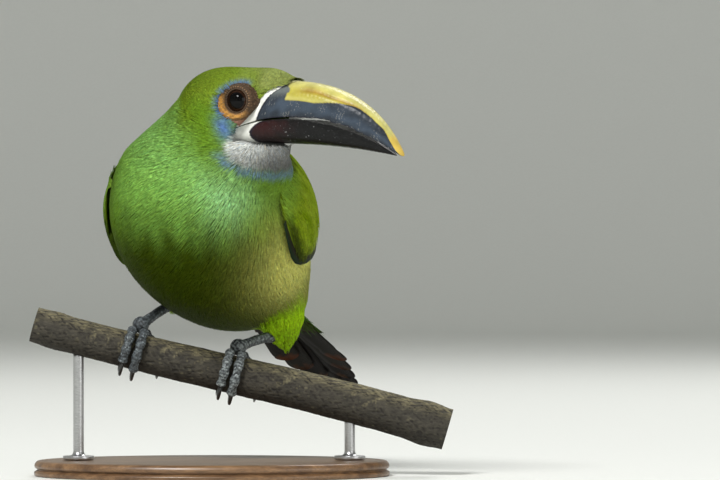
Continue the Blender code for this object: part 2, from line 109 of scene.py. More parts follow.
def smoothPath(points, count):
    # Catmull-Rom curve: each span is the cubic that its two ends and their neighbours give
    points = np.array(points, float)
    padded = np.vstack([2 * points[0] - points[1], points, 2 * points[-1] - points[-2]])
    places = np.linspace(0, len(points) - 1, count)
    first = np.minimum(places.astype(int), len(points) - 2)
    t = (places - first)[:, None]
    p0, p1, p2, p3 = (padded[first + step] for step in range(4))
    curved = 2 * p1 + (p2 - p0) * t + (2 * p0 - 5 * p1 + 4 * p2 - p3) * t**2
    return 0.5 * (curved + (3 * p1 - p0 - 3 * p2 + p3) * t**3)


def heading(yaw, pitch):  # unit vector: yaw round from +X, pitch above level, in degrees
    yaw, pitch = math.radians(yaw), math.radians(pitch)
    return np.array([math.cos(yaw) * math.cos(pitch), math.sin(yaw) * math.cos(pitch), math.sin(pitch)])


def wobble(points, size, seed):
    # smooth noise from -1 to 1: the mean of sines along seven random directions
    random = np.random.default_rng(seed)
    waves = unit(random.normal(size=(7, 3))) * random.uniform(0.7, 1.6, (7, 1)) * 2 * math.pi / size
    phases = random.uniform(0, 2 * math.pi, 7)
    return np.sin(points @ waves.T + phases).sum(-1) / 3.5


class Axes:
    # a place with forward, left and up directions of its own
    def __init__(self, place, forward):
        self.place = np.array(place, float)
        self.forward = forward
        self.left = unit(np.cross([0.0, 0.0, 1.0], forward))
        self.up = np.cross(forward, self.left)
        self.turn = np.array([self.forward, self.left, self.up])

    def at(self, forward, left, up):
        steps = np.stack(np.broadcast_arrays(forward, left, up), axis=-1)
        return self.place + steps @ self.turn

    def local(self, points):
        return (points - self.place) @ self.turn.T

    def split(self, points):  # how far forward, left and up each point lies
        return np.moveaxis(self.local(points), -1, 0)


def nodeMiddle(name):
    low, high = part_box(name)
    return (np.array(low) + np.array(high)) / 2 / millimetre


# The bird's main places. The eyes give the head, and the rest is measured from it.
pose = {
    "headPitch": -4,
    "eyeForward": 2.8,  # the eyeballs' place on the head's own axes
    "eyeUp": -2.4,
    "trunkFromHead": (-16.0, 42.0, -60.2),
    "trunkHeading": (-111, 28),  # yaw and pitch
    "tailHeading": (65, -26),
    "tailLength": 104,
    "headAbovePerch": 121.7,
}
eyeLeft = nodeMiddle("eye_left")
eyeRight = nodeMiddle("eye_right")
headYaw = -math.degrees(math.atan2(*(eyeLeft - eyeRight)[:2]))
headForward = heading(headYaw, pose["headPitch"])
eyesFromHead = Axes((0, 0, 0), headForward).at(pose["eyeForward"], 0, pose["eyeUp"])
head = Axes((eyeLeft + eyeRight) / 2 - eyesFromHead, headForward)
trunk = Axes(head.place + pose["trunkFromHead"], heading(*pose["trunkHeading"]))
tailAxis = heading(*pose["tailHeading"])
tailLength = pose["tailLength"]
perchHeight = head.place[2] - pose["headAbovePerch"]
eyeOut = float(np.linalg.norm(eyeLeft - eyeRight) / 2)


# Distances from the bird's rounded masses, negative inside.
def fromEllipsoid(points, axes, place, radii):
    # k (k - 1) / slope, where k is the distance from the middle with each axis scaled to radius 1
    local = (points - axes.at(*place)) @ axes.turn.T
    radii = np.array(radii, float)
    inner = lengthOf(local / radii)
    return inner * (inner - 1) / (lengthOf(local / radii**2) + 1e-9)


def fromCone(points, start, end, startRadius, endRadius):
    # distance to the nearest point of the middle line, less the radius there
    along = np.asarray(end) - start
    share = np.clip((points - start) @ along / (along @ along), 0, 1)
    nearest = start + share[..., None] * along
    return lengthOf(points - nearest) - between(startRadius, endRadius, share)


def merge(first, second, blend):
    # the lesser of two distances, rounded where they are within blend of each other
    share = np.clip(0.5 + 0.5 * (second - first) / blend, 0, 1)
    return second + (first - second) * share - blend * share * (1 - share)


headMasses = {  # place, radii and how widely each one blends into those before it
    "skull": ((-4, 0, -4.6), (20, 17.2, 14.6), 0),
    "forehead": ((10.5, 0, 1.5), (14.5, 9.4, 11.4), 8),
    "nape": ((-11, 0, -14), (13.5, 14.2, 14), 8),
    "billRoot": ((11, 0, -9), (15, 7, 15), 3),
    "throat": ((6, 0, -25), (15, 11, 11), 7),
}
trunkMasses = {
    "breast": ((12, 0, 0), (42, 43, 39.5), 0),
    "belly": ((-15, 0, -4), (42, 38.5, 32), 14),
    "rump": ((-42, 0, -1), (30, 21, 18), 14),
}
eyeDish = {"forward": 1, "outward": 33.2, "lower": 1.5, "radius": 30}  # a shallow hollow round each eye


def fromMasses(points, axes, masses):
    solid = None
    for place, radii, blend in masses.values():
        mass = fromEllipsoid(points, axes, place, radii)
        solid = mass if solid is None else merge(solid, mass, blend)
    return solid


def headDistance(points):
    solid = fromMasses(points, head, headMasses)
    for side in (1, -1):
        place = (eyeDish["forward"], side * (eyeOut + eyeDish["outward"]), pose["eyeUp"] - eyeDish["lower"])
        solid = -merge(-solid, fromEllipsoid(points, head, place, (eyeDish["radius"],) * 3), 1.5)
    return solid


def bodyDistance(points):
    neck = fromCone(points, head.at(-13, -2, -10), trunk.at(35, -2, 6), 19.5, 30)
    upper = merge(headDistance(points), neck, 12)
    return merge(upper, fromMasses(points, trunk, trunkMasses), 16)


def wingBedDistance(points):  # the body with its rump filled out, which the wings lie on
    return merge(bodyDistance(points), fromEllipsoid(points, trunk, (-38, 0, 2), (66, 26, 20)), 10)


thighs = {  # places and radii down each feathered leg, heights above the perch
    "right": ([(-10, 18, 46), (-12, 18.5, 41), (-14.5, 19, 36), (-17.5, 18.5, 31), (-19.8, 18, 27)],
              (15.0, 12.5, 9.5, 5.5, 3.0)),
    "left": ([(28, 17, 43), (29.5, 18, 31), (31, 19, 20), (32.2, 20.5, 14), (33.3, 22, 7.5)],
             (15.5, 13.7, 9.5, 5.6, 1.5)),
}


def thighPath(name, count):  # places and radii down a thigh
    places, radii = thighs[name]
    path = smoothPath(np.array(places) + [0, 0, perchHeight], count)
    return path, np.interp(np.linspace(0, 1, count), np.linspace(0, 1, len(radii)), radii)


def thighDistance(points):
    cones = []
    for name in thighs:
        path, radii = thighPath(name, 6)
        cones += [fromCone(points, *cone) for cone in zip(path, path[1:], radii, radii[1:])]
    return np.minimum.reduce(cones)


# The bill's edges in the head's middle plane, forward and up from between the eyes.
bill = {
    "culmen": [(12, 6.6), (34, 10.2), (61.5, 7.2), (79.3, -21.6)],
    "gape": [(-1, -14.8), (20, -5.2), (50, -4.9), (78.4, -22.2)],
    "gonys": [(-4, -21.6), (24, -18.9), (50, -18.6), (76.5, -21.8)],
    "lowerGapeTip": (75.1, -21.5),
    "lowerGonysTip": (75.7, -22.0),
    "halfGap": 0.45,  # how far the lower half's edge lies under the gape
    "halfWidth": 11.6,
    "roundness": 0.72,
    "lowerNarrowing": 0.95,
    "yellow": (0.46, 0.40, 0.055),
    "yellowPale": (0.56, 0.52, 0.16),
    "ochre": (0.30, 0.17, 0.02),
    "tip": (0.66, 0.46, 0.09),
    "black": (0.022, 0.028, 0.037),
    # slate: partly the horn's own colour, partly a painted sheen along the side
    "slate": (0.048, 0.065, 0.090),
    "maroon": (0.035, 0.006, 0.006),
    "white": (0.82, 0.82, 0.76),
    "grey": (0.17, 0.19, 0.18),
    "rim": (0.008, 0.007, 0.016),
    "soot": (0.004, 0.004, 0.004),
    "worn": (0.34, 0.33, 0.30),
}


def billHalfWidth(t):
    return 0.7 + (bill["halfWidth"] - 0.7) * (1 - t**2.3) ** 0.8


def baseLine(up):  # how far forward the bill's slanted base lies, at a height
    return 7.7 + 0.565 * up


def featherEdge(up):  # how far forward the feathers and bare skin reach over the bill's base
    edge = 13.0 + 0.75 * np.maximum(up, -10) + 0.35 * np.minimum(up + 10, 0) + 1.6 * np.maximum(up - 2, 0)
    return np.minimum(edge, 25.0)


def bandFront(up):  # the white band's front edge on the upper half
    return 15.6 + 0.65 * up + 0.017 * up**2 + 0.5 * np.maximum(up - 1, 0)


def billDistance(points):
    # each section is a rounded box: (side / width)^n + (height / depth)^n = 1, with n = 1 / roundness
    power = 1 / bill["roundness"] * 2
    t = np.linspace(0, 1, 60)
    gape, culmen, gonys = (bezier(bill[name], t) for name in ("gape", "culmen", "gonys"))
    forward, left, up = head.split(points)
    middle = np.interp(forward, gape[:, 0], gape[:, 1])
    top = np.interp(forward, culmen[:, 0], culmen[:, 1]) - middle
    under = np.interp(forward, gonys[:, 0], gonys[:, 1]) - middle
    width = billHalfWidth(np.interp(forward, gape[:, 0], t))
    height = np.abs((up - middle) / np.where(up > middle, top, under))
    reach = (np.abs(left / width) ** power + height**power) ** (1 / power)
    return np.maximum((reach - 1) * 9, baseLine(up) - forward)


# The tail's root is thick with coverts and thins out towards the tip.
trunkEnd = {"x": -64.0, "drop": -1.0, "gap": 0.7}
tailRoot = trunk.at(trunkEnd["x"], 0, trunkEnd["drop"]) - trunkEnd["gap"] * trunk.forward
tailAxes = Axes(tailRoot, tailAxis)


def tailHalfWidth(share):
    stepped = np.maximum(share - 0.48, 0) / 0.52
    return 0.8 + (13 + 6.6 * ramp(share, 0, 0.48)) * np.maximum(1 - stepped**2.4, 0) ** 0.6


def tailHalfThickness(share):
    return 0.6 + 0.5 * (1 - share) + 8.8 * np.exp(-share / 0.15)


def tailSection(share, side, up):  # how far outside the oval at that share of the length
    share = np.clip(share, 0, 1)
    thick = tailHalfThickness(share)
    return (np.hypot(side / tailHalfWidth(share), up / thick) - 1) * thick


def tailDistance(points):  # outside the sections, or past either end of the coverts
    along, side, up = tailAxes.split(points)
    return np.maximum.reduce([tailSection(along / tailLength, side, up), along - 34, -8 - along])


def coatDistance(points):  # the outline that the feathers' tips follow
    outline = merge(bodyDistance(points), thighDistance(points), 3)
    neckFold = fromEllipsoid(points, trunk, (33, 35.5, 13), (14.5, 10, 12.5))
    outline = merge(outline, neckFold, 6)
    outline = merge(outline, tailDistance(points), 5)
    along, _, high = trunk.split(points)
    fluffed = ramp(-along, 12, 30) * falling(-along, 42, 54) * ramp(high, 2, 10)  # between the wings
    outline = between(outline, np.minimum(wingBedDistance(points), outline), fluffed)
    return np.minimum(outline, billDistance(points) - 0.25)


def settle(points, level, distance, rounds=2):
    # Newton's steps along the distance's own slope, until each point lies at its level
    step = 0.08
    for _ in range(rounds):
        here = distance(points)
        slope = np.stack([distance(points + step * axis) - here for axis in np.eye(3)], axis=-1) / step
        points = points - ((here - level) / np.maximum(dot(slope, slope), 0.05))[..., None] * slope
    return points, unit(slope)


# Rings along the body: a fan round a hinge before the throat, a turn to face the tail, then parallel.
rings = {
    "hinge": (27, 0, -41),
    "fanAngles": (5, 80),
    "fanShare": 0.42,
    "turnShare": 0.80,
    "turnEnd": -28.0,
    "twistBetween": (0.2, 0.62),
}


def fanRing(angle):
    back = circle(angle, head.up, -head.forward)
    reach = 33 + 12 * ramp(angle / math.radians(rings["fanAngles"][1]), 0, 1)
    return head.at(*rings["hinge"]) + reach[..., None] * back, circle(angle, -head.forward, -head.up), back


def turned(vectors, axes, angles):  # each vector turned about its own unit axis
    angles = angles[..., None]
    level = dot(axes, vectors)[..., None] * (1 - np.cos(angles))
    return vectors * np.cos(angles) + np.cross(axes, vectors) * np.sin(angles) + axes * level


def ringFrames(ways):
    # centre, direction of travel and the back's side at shares of the way from bill to tail
    low, high = np.radians(rings["fanAngles"])
    last = -trunk.forward
    fanEnd, fanTravel, fanBack = (value[0] for value in fanRing(np.array([high])))
    fanCentre, travelOne, backOne = fanRing(low + (high - low) * np.minimum(ways / rings["fanShare"], 1))
    trunkBack = flattened(trunk.up, fanTravel)
    twist = math.atan2(np.cross(fanBack, trunkBack) @ fanTravel, fanBack @ trunkBack)
    twisted = twist * ramp(ways, *rings["twistBetween"])
    backOne = turned(backOne, travelOne, twisted)

    turn = np.clip((ways - rings["fanShare"]) / (rings["turnShare"] - rings["fanShare"]), 0, 1)[:, None]
    turnEnd = trunk.at(rings["turnEnd"], 0, 0)
    travelTwo = (1 - turn) * fanTravel + turn * last
    level = (1 - turn) * (fanTravel @ fanEnd) + turn * (last @ turnEnd)
    size = lengthOf(travelTwo)[:, None]
    travelTwo, level = travelTwo / size, level / size
    middle = trunk.at(22, 0, 6)
    centreTwo = bezier([fanEnd, (fanEnd + middle) / 2, middle, turnEnd], turn[:, 0])
    centreTwo = centreTwo - (dot(centreTwo, travelTwo)[:, None] - level) * travelTwo
    backTwo = turned(flattened(trunk.up, travelTwo), travelTwo, twisted - twist)

    along = np.clip((ways - rings["turnShare"]) / (1 - rings["turnShare"]), 0, 1)
    reach = between(rings["turnEnd"], trunkEnd["x"], along)
    centreThree = trunk.at(reach, 0, trunkEnd["drop"] * along)
    isFan = (ways <= rings["fanShare"])[:, None]
    isEnd = (ways > rings["turnShare"])[:, None]
    centre = np.where(isFan, fanCentre, np.where(isEnd, centreThree, centreTwo))
    travel = np.where(isFan, travelOne, np.where(isEnd, last, travelTwo))
    return centre, travel, np.where(isFan, backOne, np.where(isEnd, trunk.up, backTwo))


def outwardTo(start, spokes, distance, level=0.0):  # halving: how far out each spoke meets the level
    near, far = np.zeros(start.shape[:-1]), np.full(start.shape[:-1], 75.0)
    for _ in range(20):
        middle = (near + far) / 2
        inside = distance(start + middle[..., None] * spokes) < level
        near, far = np.where(inside, middle, near), np.where(inside, far, middle)
    return near


def bodyGrid(wayCount, aroundCount):
    # the outline as a grid: share of the way to the tail by angle round from the back
    ways = np.linspace(0, 1, wayCount)
    centre, travel, back = ringFrames(ways)
    left = np.cross(travel, back)
    spokes = circle(roundAngles(aroundCount), back[:, None], left[:, None])
    start = np.broadcast_to(centre[:, None], spokes.shape)
    return start + outwardTo(start, spokes, bodyDistance)[..., None] * spokes


# Meshes. A part is a tuple: points, quads, triangles.
def ringQuads(rows, sides):  # faces between neighbouring rings of points, wrapping round
    index = np.arange(rows * sides).reshape(rows, sides)
    onward = np.roll(index, -1, axis=1)
    return np.stack([index[:-1], onward[:-1], onward[1:], index[1:]], axis=-1).reshape(-1, 4)


def closedTube(ringPoints):
    # rings of points joined into a tube, each end closed by its middle point, faces outward
    rows, sides = ringPoints.shape[:2]
    points = np.vstack([ringPoints.reshape(-1, 3), ringPoints[0].mean(0), ringPoints[-1].mean(0)])
    quads = ringQuads(rows, sides)
    corner, total = np.arange(sides), rows * sides
    onward = np.roll(corner, -1)
    first = np.stack([np.full(sides, total), onward, corner], axis=-1)
    last = np.stack([np.full(sides, total + 1), corner + total - sides, onward + total - sides], axis=-1)
    triangles = np.vstack([first, last])
    corners = points - points.mean(0)
    split = np.vstack([quads[:, [0, 1, 2]], quads[:, [0, 2, 3]], triangles])
    volume = dot(np.cross(corners[split[:, 0]], corners[split[:, 1]]), corners[split[:, 2]]).sum()
    if volume < 0:
        quads, triangles = quads[:, ::-1], triangles[:, ::-1]
    return points, quads, triangles


def withEnds(colours):  # adds a colour for each of the two points that close a tube
    count = colours.shape[-1]
    return np.vstack([colours.reshape(-1, count), colours[0].mean(0), colours[-1].mean(0)])


def joined(parts):
    starts = np.cumsum([0] + [len(part[0]) for part in parts])
    points = np.vstack([part[0] for part in parts])
    quads = np.vstack([part[1] + start for part, start in zip(parts, starts)])
    return points, quads, np.vstack([part[2] + start for part, start in zip(parts, starts)])


def tubeRings(path, radii, sides, up=(0.0, 0.0, 1.0)):
    # circles across a path; radii may hold one radius a ring, or one for each ring and side
    path = np.array(path, float)
    ways = unit(np.gradient(path, axis=0))
    side = unit(np.cross(ways, up))
    top = np.cross(side, ways)
    spokes = circle(roundAngles(sides), side[:, None], top[:, None])
    radii = np.asarray(radii, float)
    radii = radii[:, None] if radii.ndim == 1 else radii
    return path[:, None] + radii[..., None] * spokes


def addToScene(name, data):
    made = bpy.data.objects.new(name, data)
    bpy.context.scene.collection.objects.link(made)
    return made


def makePiece(name, part, materials, nodes=(), tint=None, uv=None, vane=None, kinds=None):
    # puts a part into Blender, in metres, with its colours and maps, and hides the model's nodes that it
    # stands for
    points, quads, triangles = part
    corners = np.concatenate([quads.ravel(), triangles.ravel()])
    sizes = np.concatenate([np.full(len(quads), 4), np.full(len(triangles), 3)])
    mesh = bpy.data.meshes.new(name)
    mesh.vertices.add(len(points))
    mesh.vertices.foreach_set("co", (points * millimetre).astype(np.float32).ravel())
    mesh.loops.add(len(corners))
    mesh.loops.foreach_set("vertex_index", corners.astype(np.int32))
    mesh.polygons.add(len(sizes))
    mesh.polygons.foreach_set("loop_start", (np.cumsum(sizes) - sizes).astype(np.int32))
    if kinds is not None:
        mesh.polygons.foreach_set("material_index", kinds.astype(np.int32))
    mesh.update(calc_edges=True)
    mesh.shade_smooth()
    if tint is not None:
        colours = np.ones((len(points), 4), np.float32)
        colours[:, :3] = np.clip(tint, 0, 1)
        layer = mesh.color_attributes.new("tint", "FLOAT_COLOR", "POINT")
        layer.data.foreach_set("color", colours.ravel())
    for label, values in (("OFBake", uv), ("vane", vane)):
        if values is not None:
            layer = mesh.uv_layers.new(name=label)
            layer.uv.foreach_set("vector", values[corners].astype(np.float32).ravel())
    for material in materials:
        mesh.materials.append(material)
    piece = addToScene(name, mesh)
    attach(piece, "root")
    if nodes:
        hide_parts(*nodes)
    return piece


def makeTube(name, grid, material, colours=None):  # for the node of its name
    tint = None if colours is None else withEnds(colours)
    return makePiece(name, closedTube(grid), [material], [name], tint)


# Materials. Each is a Principled shader; most take their colour from the piece's own tint, worked over, and
# the stand's wood and steel and the floor have colours of their own.
class Look:
    # a material on a Principled shader, and short ways to add nodes to it
    def __init__(self, name, **sockets):
        self.material = bpy.data.materials.new(name)
        self.material.use_nodes = True
        self.tree = self.material.node_tree
        self.shader = self.tree.nodes["Principled BSDF"]
        for socket, value in sockets.items():
            self.shader.inputs[socket.replace("_", " ")].default_value = value

    def feed(self, socket, value):  # a link from another node, or a plain value
        if isinstance(value, bpy.types.NodeSocket):
            self.tree.links.new(value, socket)
        elif socket.type == "RGBA":
            socket.default_value = (*value, 1)
        else:
            socket.default_value = value

    def add(self, kind, inputs, output=0, **settings):
        node = self.tree.nodes.new("ShaderNode" + kind)
        for name, value in settings.items():
            setattr(node, name, value)
        for name, value in inputs.items():
            self.feed(node.inputs[name], value)
        return node.outputs[output]

    def place(self, stretch=(1, 1, 1), turn=(0, 0, 0)):  # Object coordinates, stretched and turned
        inputs = {"Vector": self.add("TexCoord", {}, "Object"), "Scale": stretch, "Rotation": turn}
        return self.add("Mapping", inputs)

    def noise(self, scale, detail=3.0, roughness=0.55, place=None):
        inputs = {"Vector": place or self.place(), "Scale": scale, "Detail": detail, "Roughness": roughness}
        return self.add("TexNoise", inputs)

    def cells(self, scale, stretch=(1, 1, 1), **settings):
        return self.add("TexVoronoi", {"Vector": self.place(stretch), "Scale": scale}, **settings)

    def remap(self, value, low, high, newLow, newHigh):
        inputs = {"Value": value, "From Min": low, "From Max": high, "To Min": newLow, "To Max": newHigh}
        return self.add("MapRange", inputs)

    def math(self, operation, *values):
        return self.add("Math", dict(enumerate(values)), operation=operation)

    def blend(self, share, first, second, kind="MIX"):
        inputs = {0: share, 6: first, 7: second}
        return self.add("Mix", inputs, 2, data_type="RGBA", blend_type=kind)

    def shade(self, colour, value):  # the colour made darker or lighter by a number
        grey = self.add("CombineColor", {"Red": value, "Green": value, "Blue": value})
        return self.blend(1.0, colour, grey, "MULTIPLY")

    def tinted(self, value, darkest, lightest, low=0.3, high=0.7):
        # the piece's own tint, darkest where the value is low and lightest where it is high
        tint = self.add("Attribute", {}, attribute_name="tint")
        return self.shade(tint, self.remap(value, low, high, darkest, lightest))

    def finish(self, colour, height=None, strength=0, distance=0):  # the bump's distance in millimetres
        self.feed(self.shader.inputs["Base Color"], colour)
        if height is not None:
            inputs = {"Height": height, "Strength": strength, "Distance": distance * millimetre}
            self.feed(self.shader.inputs["Normal"], self.add("Bump", inputs))
        return self.material


def plumageMaterial():
    # tint times noise from 0.82 to 1.18, on fine strands, with little gloss
    look = Look("plumage", Roughness=0.6, Specular_IOR_Level=0.02)
    return look.finish(look.tinted(look.noise(900, 2), 0.82, 1.18))


def skinMaterial():
    # the same tint, darker and mottled, under the feathers
    look = Look("featheredSkin", Roughness=0.8, Specular_IOR_Level=0.1)
    grain = look.noise(1400, 4)
    return look.finish(look.tinted(grain, 0.7, 1.1), grain, 0.6, 0.3)


def bareSkinMaterial():
    # tint with pores from small cells, and fine creases from noise
    look = Look("bareSkin", Roughness=0.5, Subsurface_Weight=0.12, Specular_IOR_Level=0.2)
    look.shader.inputs["Subsurface Radius"].default_value = (0.0012, 0.0005, 0.0003)
    both = look.math("ADD", look.cells(1900.0), look.noise(1300, 5))
    return look.finish(look.tinted(both, 0.75, 1.25, 0.4, 1.3), both, 0.5, 0.25)


def featherMaterial():
    # tint crossed by barbs: fine stripes that slant away from the shaft, in millimetres on the vane map
    look = Look("flightFeathers", Roughness=0.6, Specular_IOR_Level=0.05)
    vaneMap = look.add("UVMap", {}, uv_map="vane")
    across, along = look.add("SeparateXYZ", {"Vector": vaneMap}).node.outputs[:2]
    across = look.math("ABSOLUTE", across)
    slant = look.math("MULTIPLY_ADD", across, -0.9, along)
    stretched = look.add("CombineXYZ", {"X": slant, "Y": across})
    squeezed = look.add("Mapping", {"Vector": stretched, "Scale": (2.6, 0.25, 1)})
    barbs = look.noise(1.0, 3, place=squeezed)
    return look.finish(look.tinted(barbs, 0.72, 1.25, 0.35, 0.65), barbs, 0.5, 0.15)


def billMaterial():
    # tint with scratches along the bill, pale specks and a worn gloss
    look = Look("billHorn", Specular_IOR_Level=0.2, Coat_Weight=0.06, Coat_Roughness=0.2)
    turn = (0, math.radians(-pose["headPitch"]), -math.radians(headYaw))
    scratches = look.noise(420, 5, 0.7, look.place((1, 4.5, 4.5), turn))
    colour = look.tinted(look.noise(160, 4), 0.8, 1.2)
    small = look.remap(look.cells(520.0), 0.06, 0.16, 1, 0)
    here = look.remap(look.noise(90, 2), 0.52, 0.6, 0, 0.55)
    colour = look.blend(look.remap(scratches, 0.58, 0.8, 0, 0.22), colour, (0.30, 0.32, 0.34))
    colour = look.blend(look.math("MULTIPLY", small, here), colour, (0.45, 0.46, 0.46))
    look.feed(look.shader.inputs["Roughness"], look.remap(scratches, 0.3, 0.75, 0.26, 0.5))
    return look.finish(colour, scratches, 0.22, 0.12)


def eyeMaterial():
    # tint times fine fibres of noise, under a clear wet coat
    look = Look("eyeball", Roughness=0.3, Specular_IOR_Level=0.0, Coat_Weight=0.28, Coat_Roughness=0.02)
    return look.finish(look.tinted(look.noise(2200, 3), 0.6, 1.4))


def legMaterial():
    # tint over small raised cells, with pale tops and dark seams; the tint's pale flecks are painted
    # highlights
    look = Look("legScales", Roughness=0.42)
    seams = look.remap(look.cells(1050.0, feature="DISTANCE_TO_EDGE"), 0.0, 0.09, 0.35, 1.0)
    grain = look.tinted(look.noise(700, 4), 0.6, 1.45)
    return look.finish(look.shade(grain, seams), seams, 0.7, 0.3)


def clawMaterial():
    # tint times streaks of noise along the claw
    look = Look("clawHorn", Roughness=0.3, Coat_Weight=0.3)
    streaks = look.noise(900, 3, place=look.place((1, 1, 0.3)))
    return look.finish(look.tinted(streaks, 0.6, 1.5), streaks, 0.15, 0.1)


def barkMaterial():
    # tint with long fibres, mottles and pale lichen specks
    look = Look("bark", Roughness=0.85)
    fibres = look.noise(950, 6, 0.65, look.place((0.35, 1, 1), (0, math.radians(-15), 0)))
    colour = look.tinted(fibres, 0.5, 1.5)
    colour = look.shade(colour, look.remap(look.noise(210, 5, 0.6), 0.3, 0.7, 0.7, 1.3))
    small = look.remap(look.cells(420.0, (0.7, 1, 1)), 0.12, 0.3, 1, 0)
    here = look.remap(look.noise(130, 3), 0.5, 0.62, 0, 0.22)
    colour = look.blend(look.math("MULTIPLY", small, here), colour, (0.30, 0.27, 0.15))
    return look.finish(colour, fibres, 0.8, 0.5)


def woodMaterial():
    # turned wood: long grain from stretched noise, under a satin varnish
    look = Look("standWood", Roughness=0.38, Coat_Weight=0.25, Coat_Roughness=0.2)
    grain = look.remap(look.noise(260, 6, 0.6, look.place((0.12, 1, 1))), 0.35, 0.65, 0, 1)
    pores = look.noise(2400, 2, place=look.place((0.06, 1, 1)))
    colour = look.blend(grain, (0.115, 0.058, 0.026), (0.27, 0.15, 0.07))
    return look.finish(look.shade(colour, look.remap(pores, 0.35, 0.6, 0.7, 1.05)), pores, 0.15, 0.1)


def steelMaterial():
    # brushed steel: the colour, roughness and bump follow noise stretched round the rod
    look = Look("standSteel", Metallic=1.0)
    brushed = look.noise(500, 3, place=look.place((1, 1, 14)))
    colour = look.blend(look.remap(brushed, 0.3, 0.7, 0, 1), (0.42, 0.42, 0.43), (0.62, 0.62, 0.62))
    look.feed(look.shader.inputs["Roughness"], look.remap(brushed, 0.3, 0.7, 0.24, 0.42))
    return look.finish(colour, brushed, 0.1, 0.05)


plumage = plumageMaterial()
featheredSkin = skinMaterial()
bareSkin = bareSkinMaterial()
flightFeathers = featherMaterial()
billHorn = billMaterial()
eyeball = eyeMaterial()
legScales = legMaterial()
clawHorn = clawMaterial()
bark = barkMaterial()
standWood = woodMaterial()
standSteel = steelMaterial()
print("materials made")


# The markings, which skin and coat share; they also hold painted shade on the throat, on the lower body and
# by the right wing's bend, and a painted highlight on the breast.
markingsAndPaintedLight = {
    "crown": (0.25, 0.37, 0.03),
    "forehead": (0.315, 0.37, 0.10),
    "bristle": (0.13, 0.11, 0.035),
    "nape": (0.17, 0.25, 0.002),
    "cheek": (0.185, 0.345, 0.024),
    "breast": (0.30, 0.60, 0.085),
    # pale blue-green: a marking on the upper breast, and also the colour of a painted highlight on the
    # breast's middle
    "breastBlueAndHighlight": (0.50, 0.92, 0.44),
    "side": (0.19, 0.36, 0.006),
    # belly: a dark olive, partly the lower body's own colour and partly painted shade
    "belly": (0.056, 0.088, 0.002),
    "shadow": (0.030, 0.046, 0.004),  # by the right wing's bend
    "flank": (1.0, 1.0, 0.27),
    "thigh": (0.52, 0.86, 0.02),
    "back": (0.12, 0.20, 0.012),
    "vent": (0.06, 0.032, 0.010),
    "throat": (0.84, 0.86, 0.83),
    "throatBlue": (0.20, 0.30, 0.55),
    "fold": (0.07, 0.035, 0.022),
    "faceBlue": (0.14, 0.25, 0.56),
}
throat = {"place": (10.5, 0, -23), "radii": (17.5, 22, 10.0)}


def fromThroat(points):  # 0 at the throat's middle, 1 at its edge
    return lengthOf((head.local(points) - throat["place"]) / throat["radii"])


def roundEye(points):  # distance and angle round the nearer eye; angle 0 is forward
    forward, _, up = head.split(points)
    forward, up = forward - pose["eyeForward"], up - pose["eyeUp"]
    return np.hypot(forward, up), np.arctan2(up, forward)


def bareEdge(angle):  # radius of the bare skin round the eye; it reaches down and forward to the gape
    gapeSide = (angle + math.radians(66) + math.pi) % (2 * math.pi) - math.pi
    edge = 7.9 + 0.9 * np.cos(angle) - 0.6 * np.sin(angle) + 4.0 * bell(gapeSide, 0, 0.32)
    towards = np.cos(angle) - 0.75 * np.sin(angle)  # no further than the bill's base
    return np.minimum(edge, np.where(towards > 0.3, 9.0 / np.maximum(towards, 0.3), 99.0))


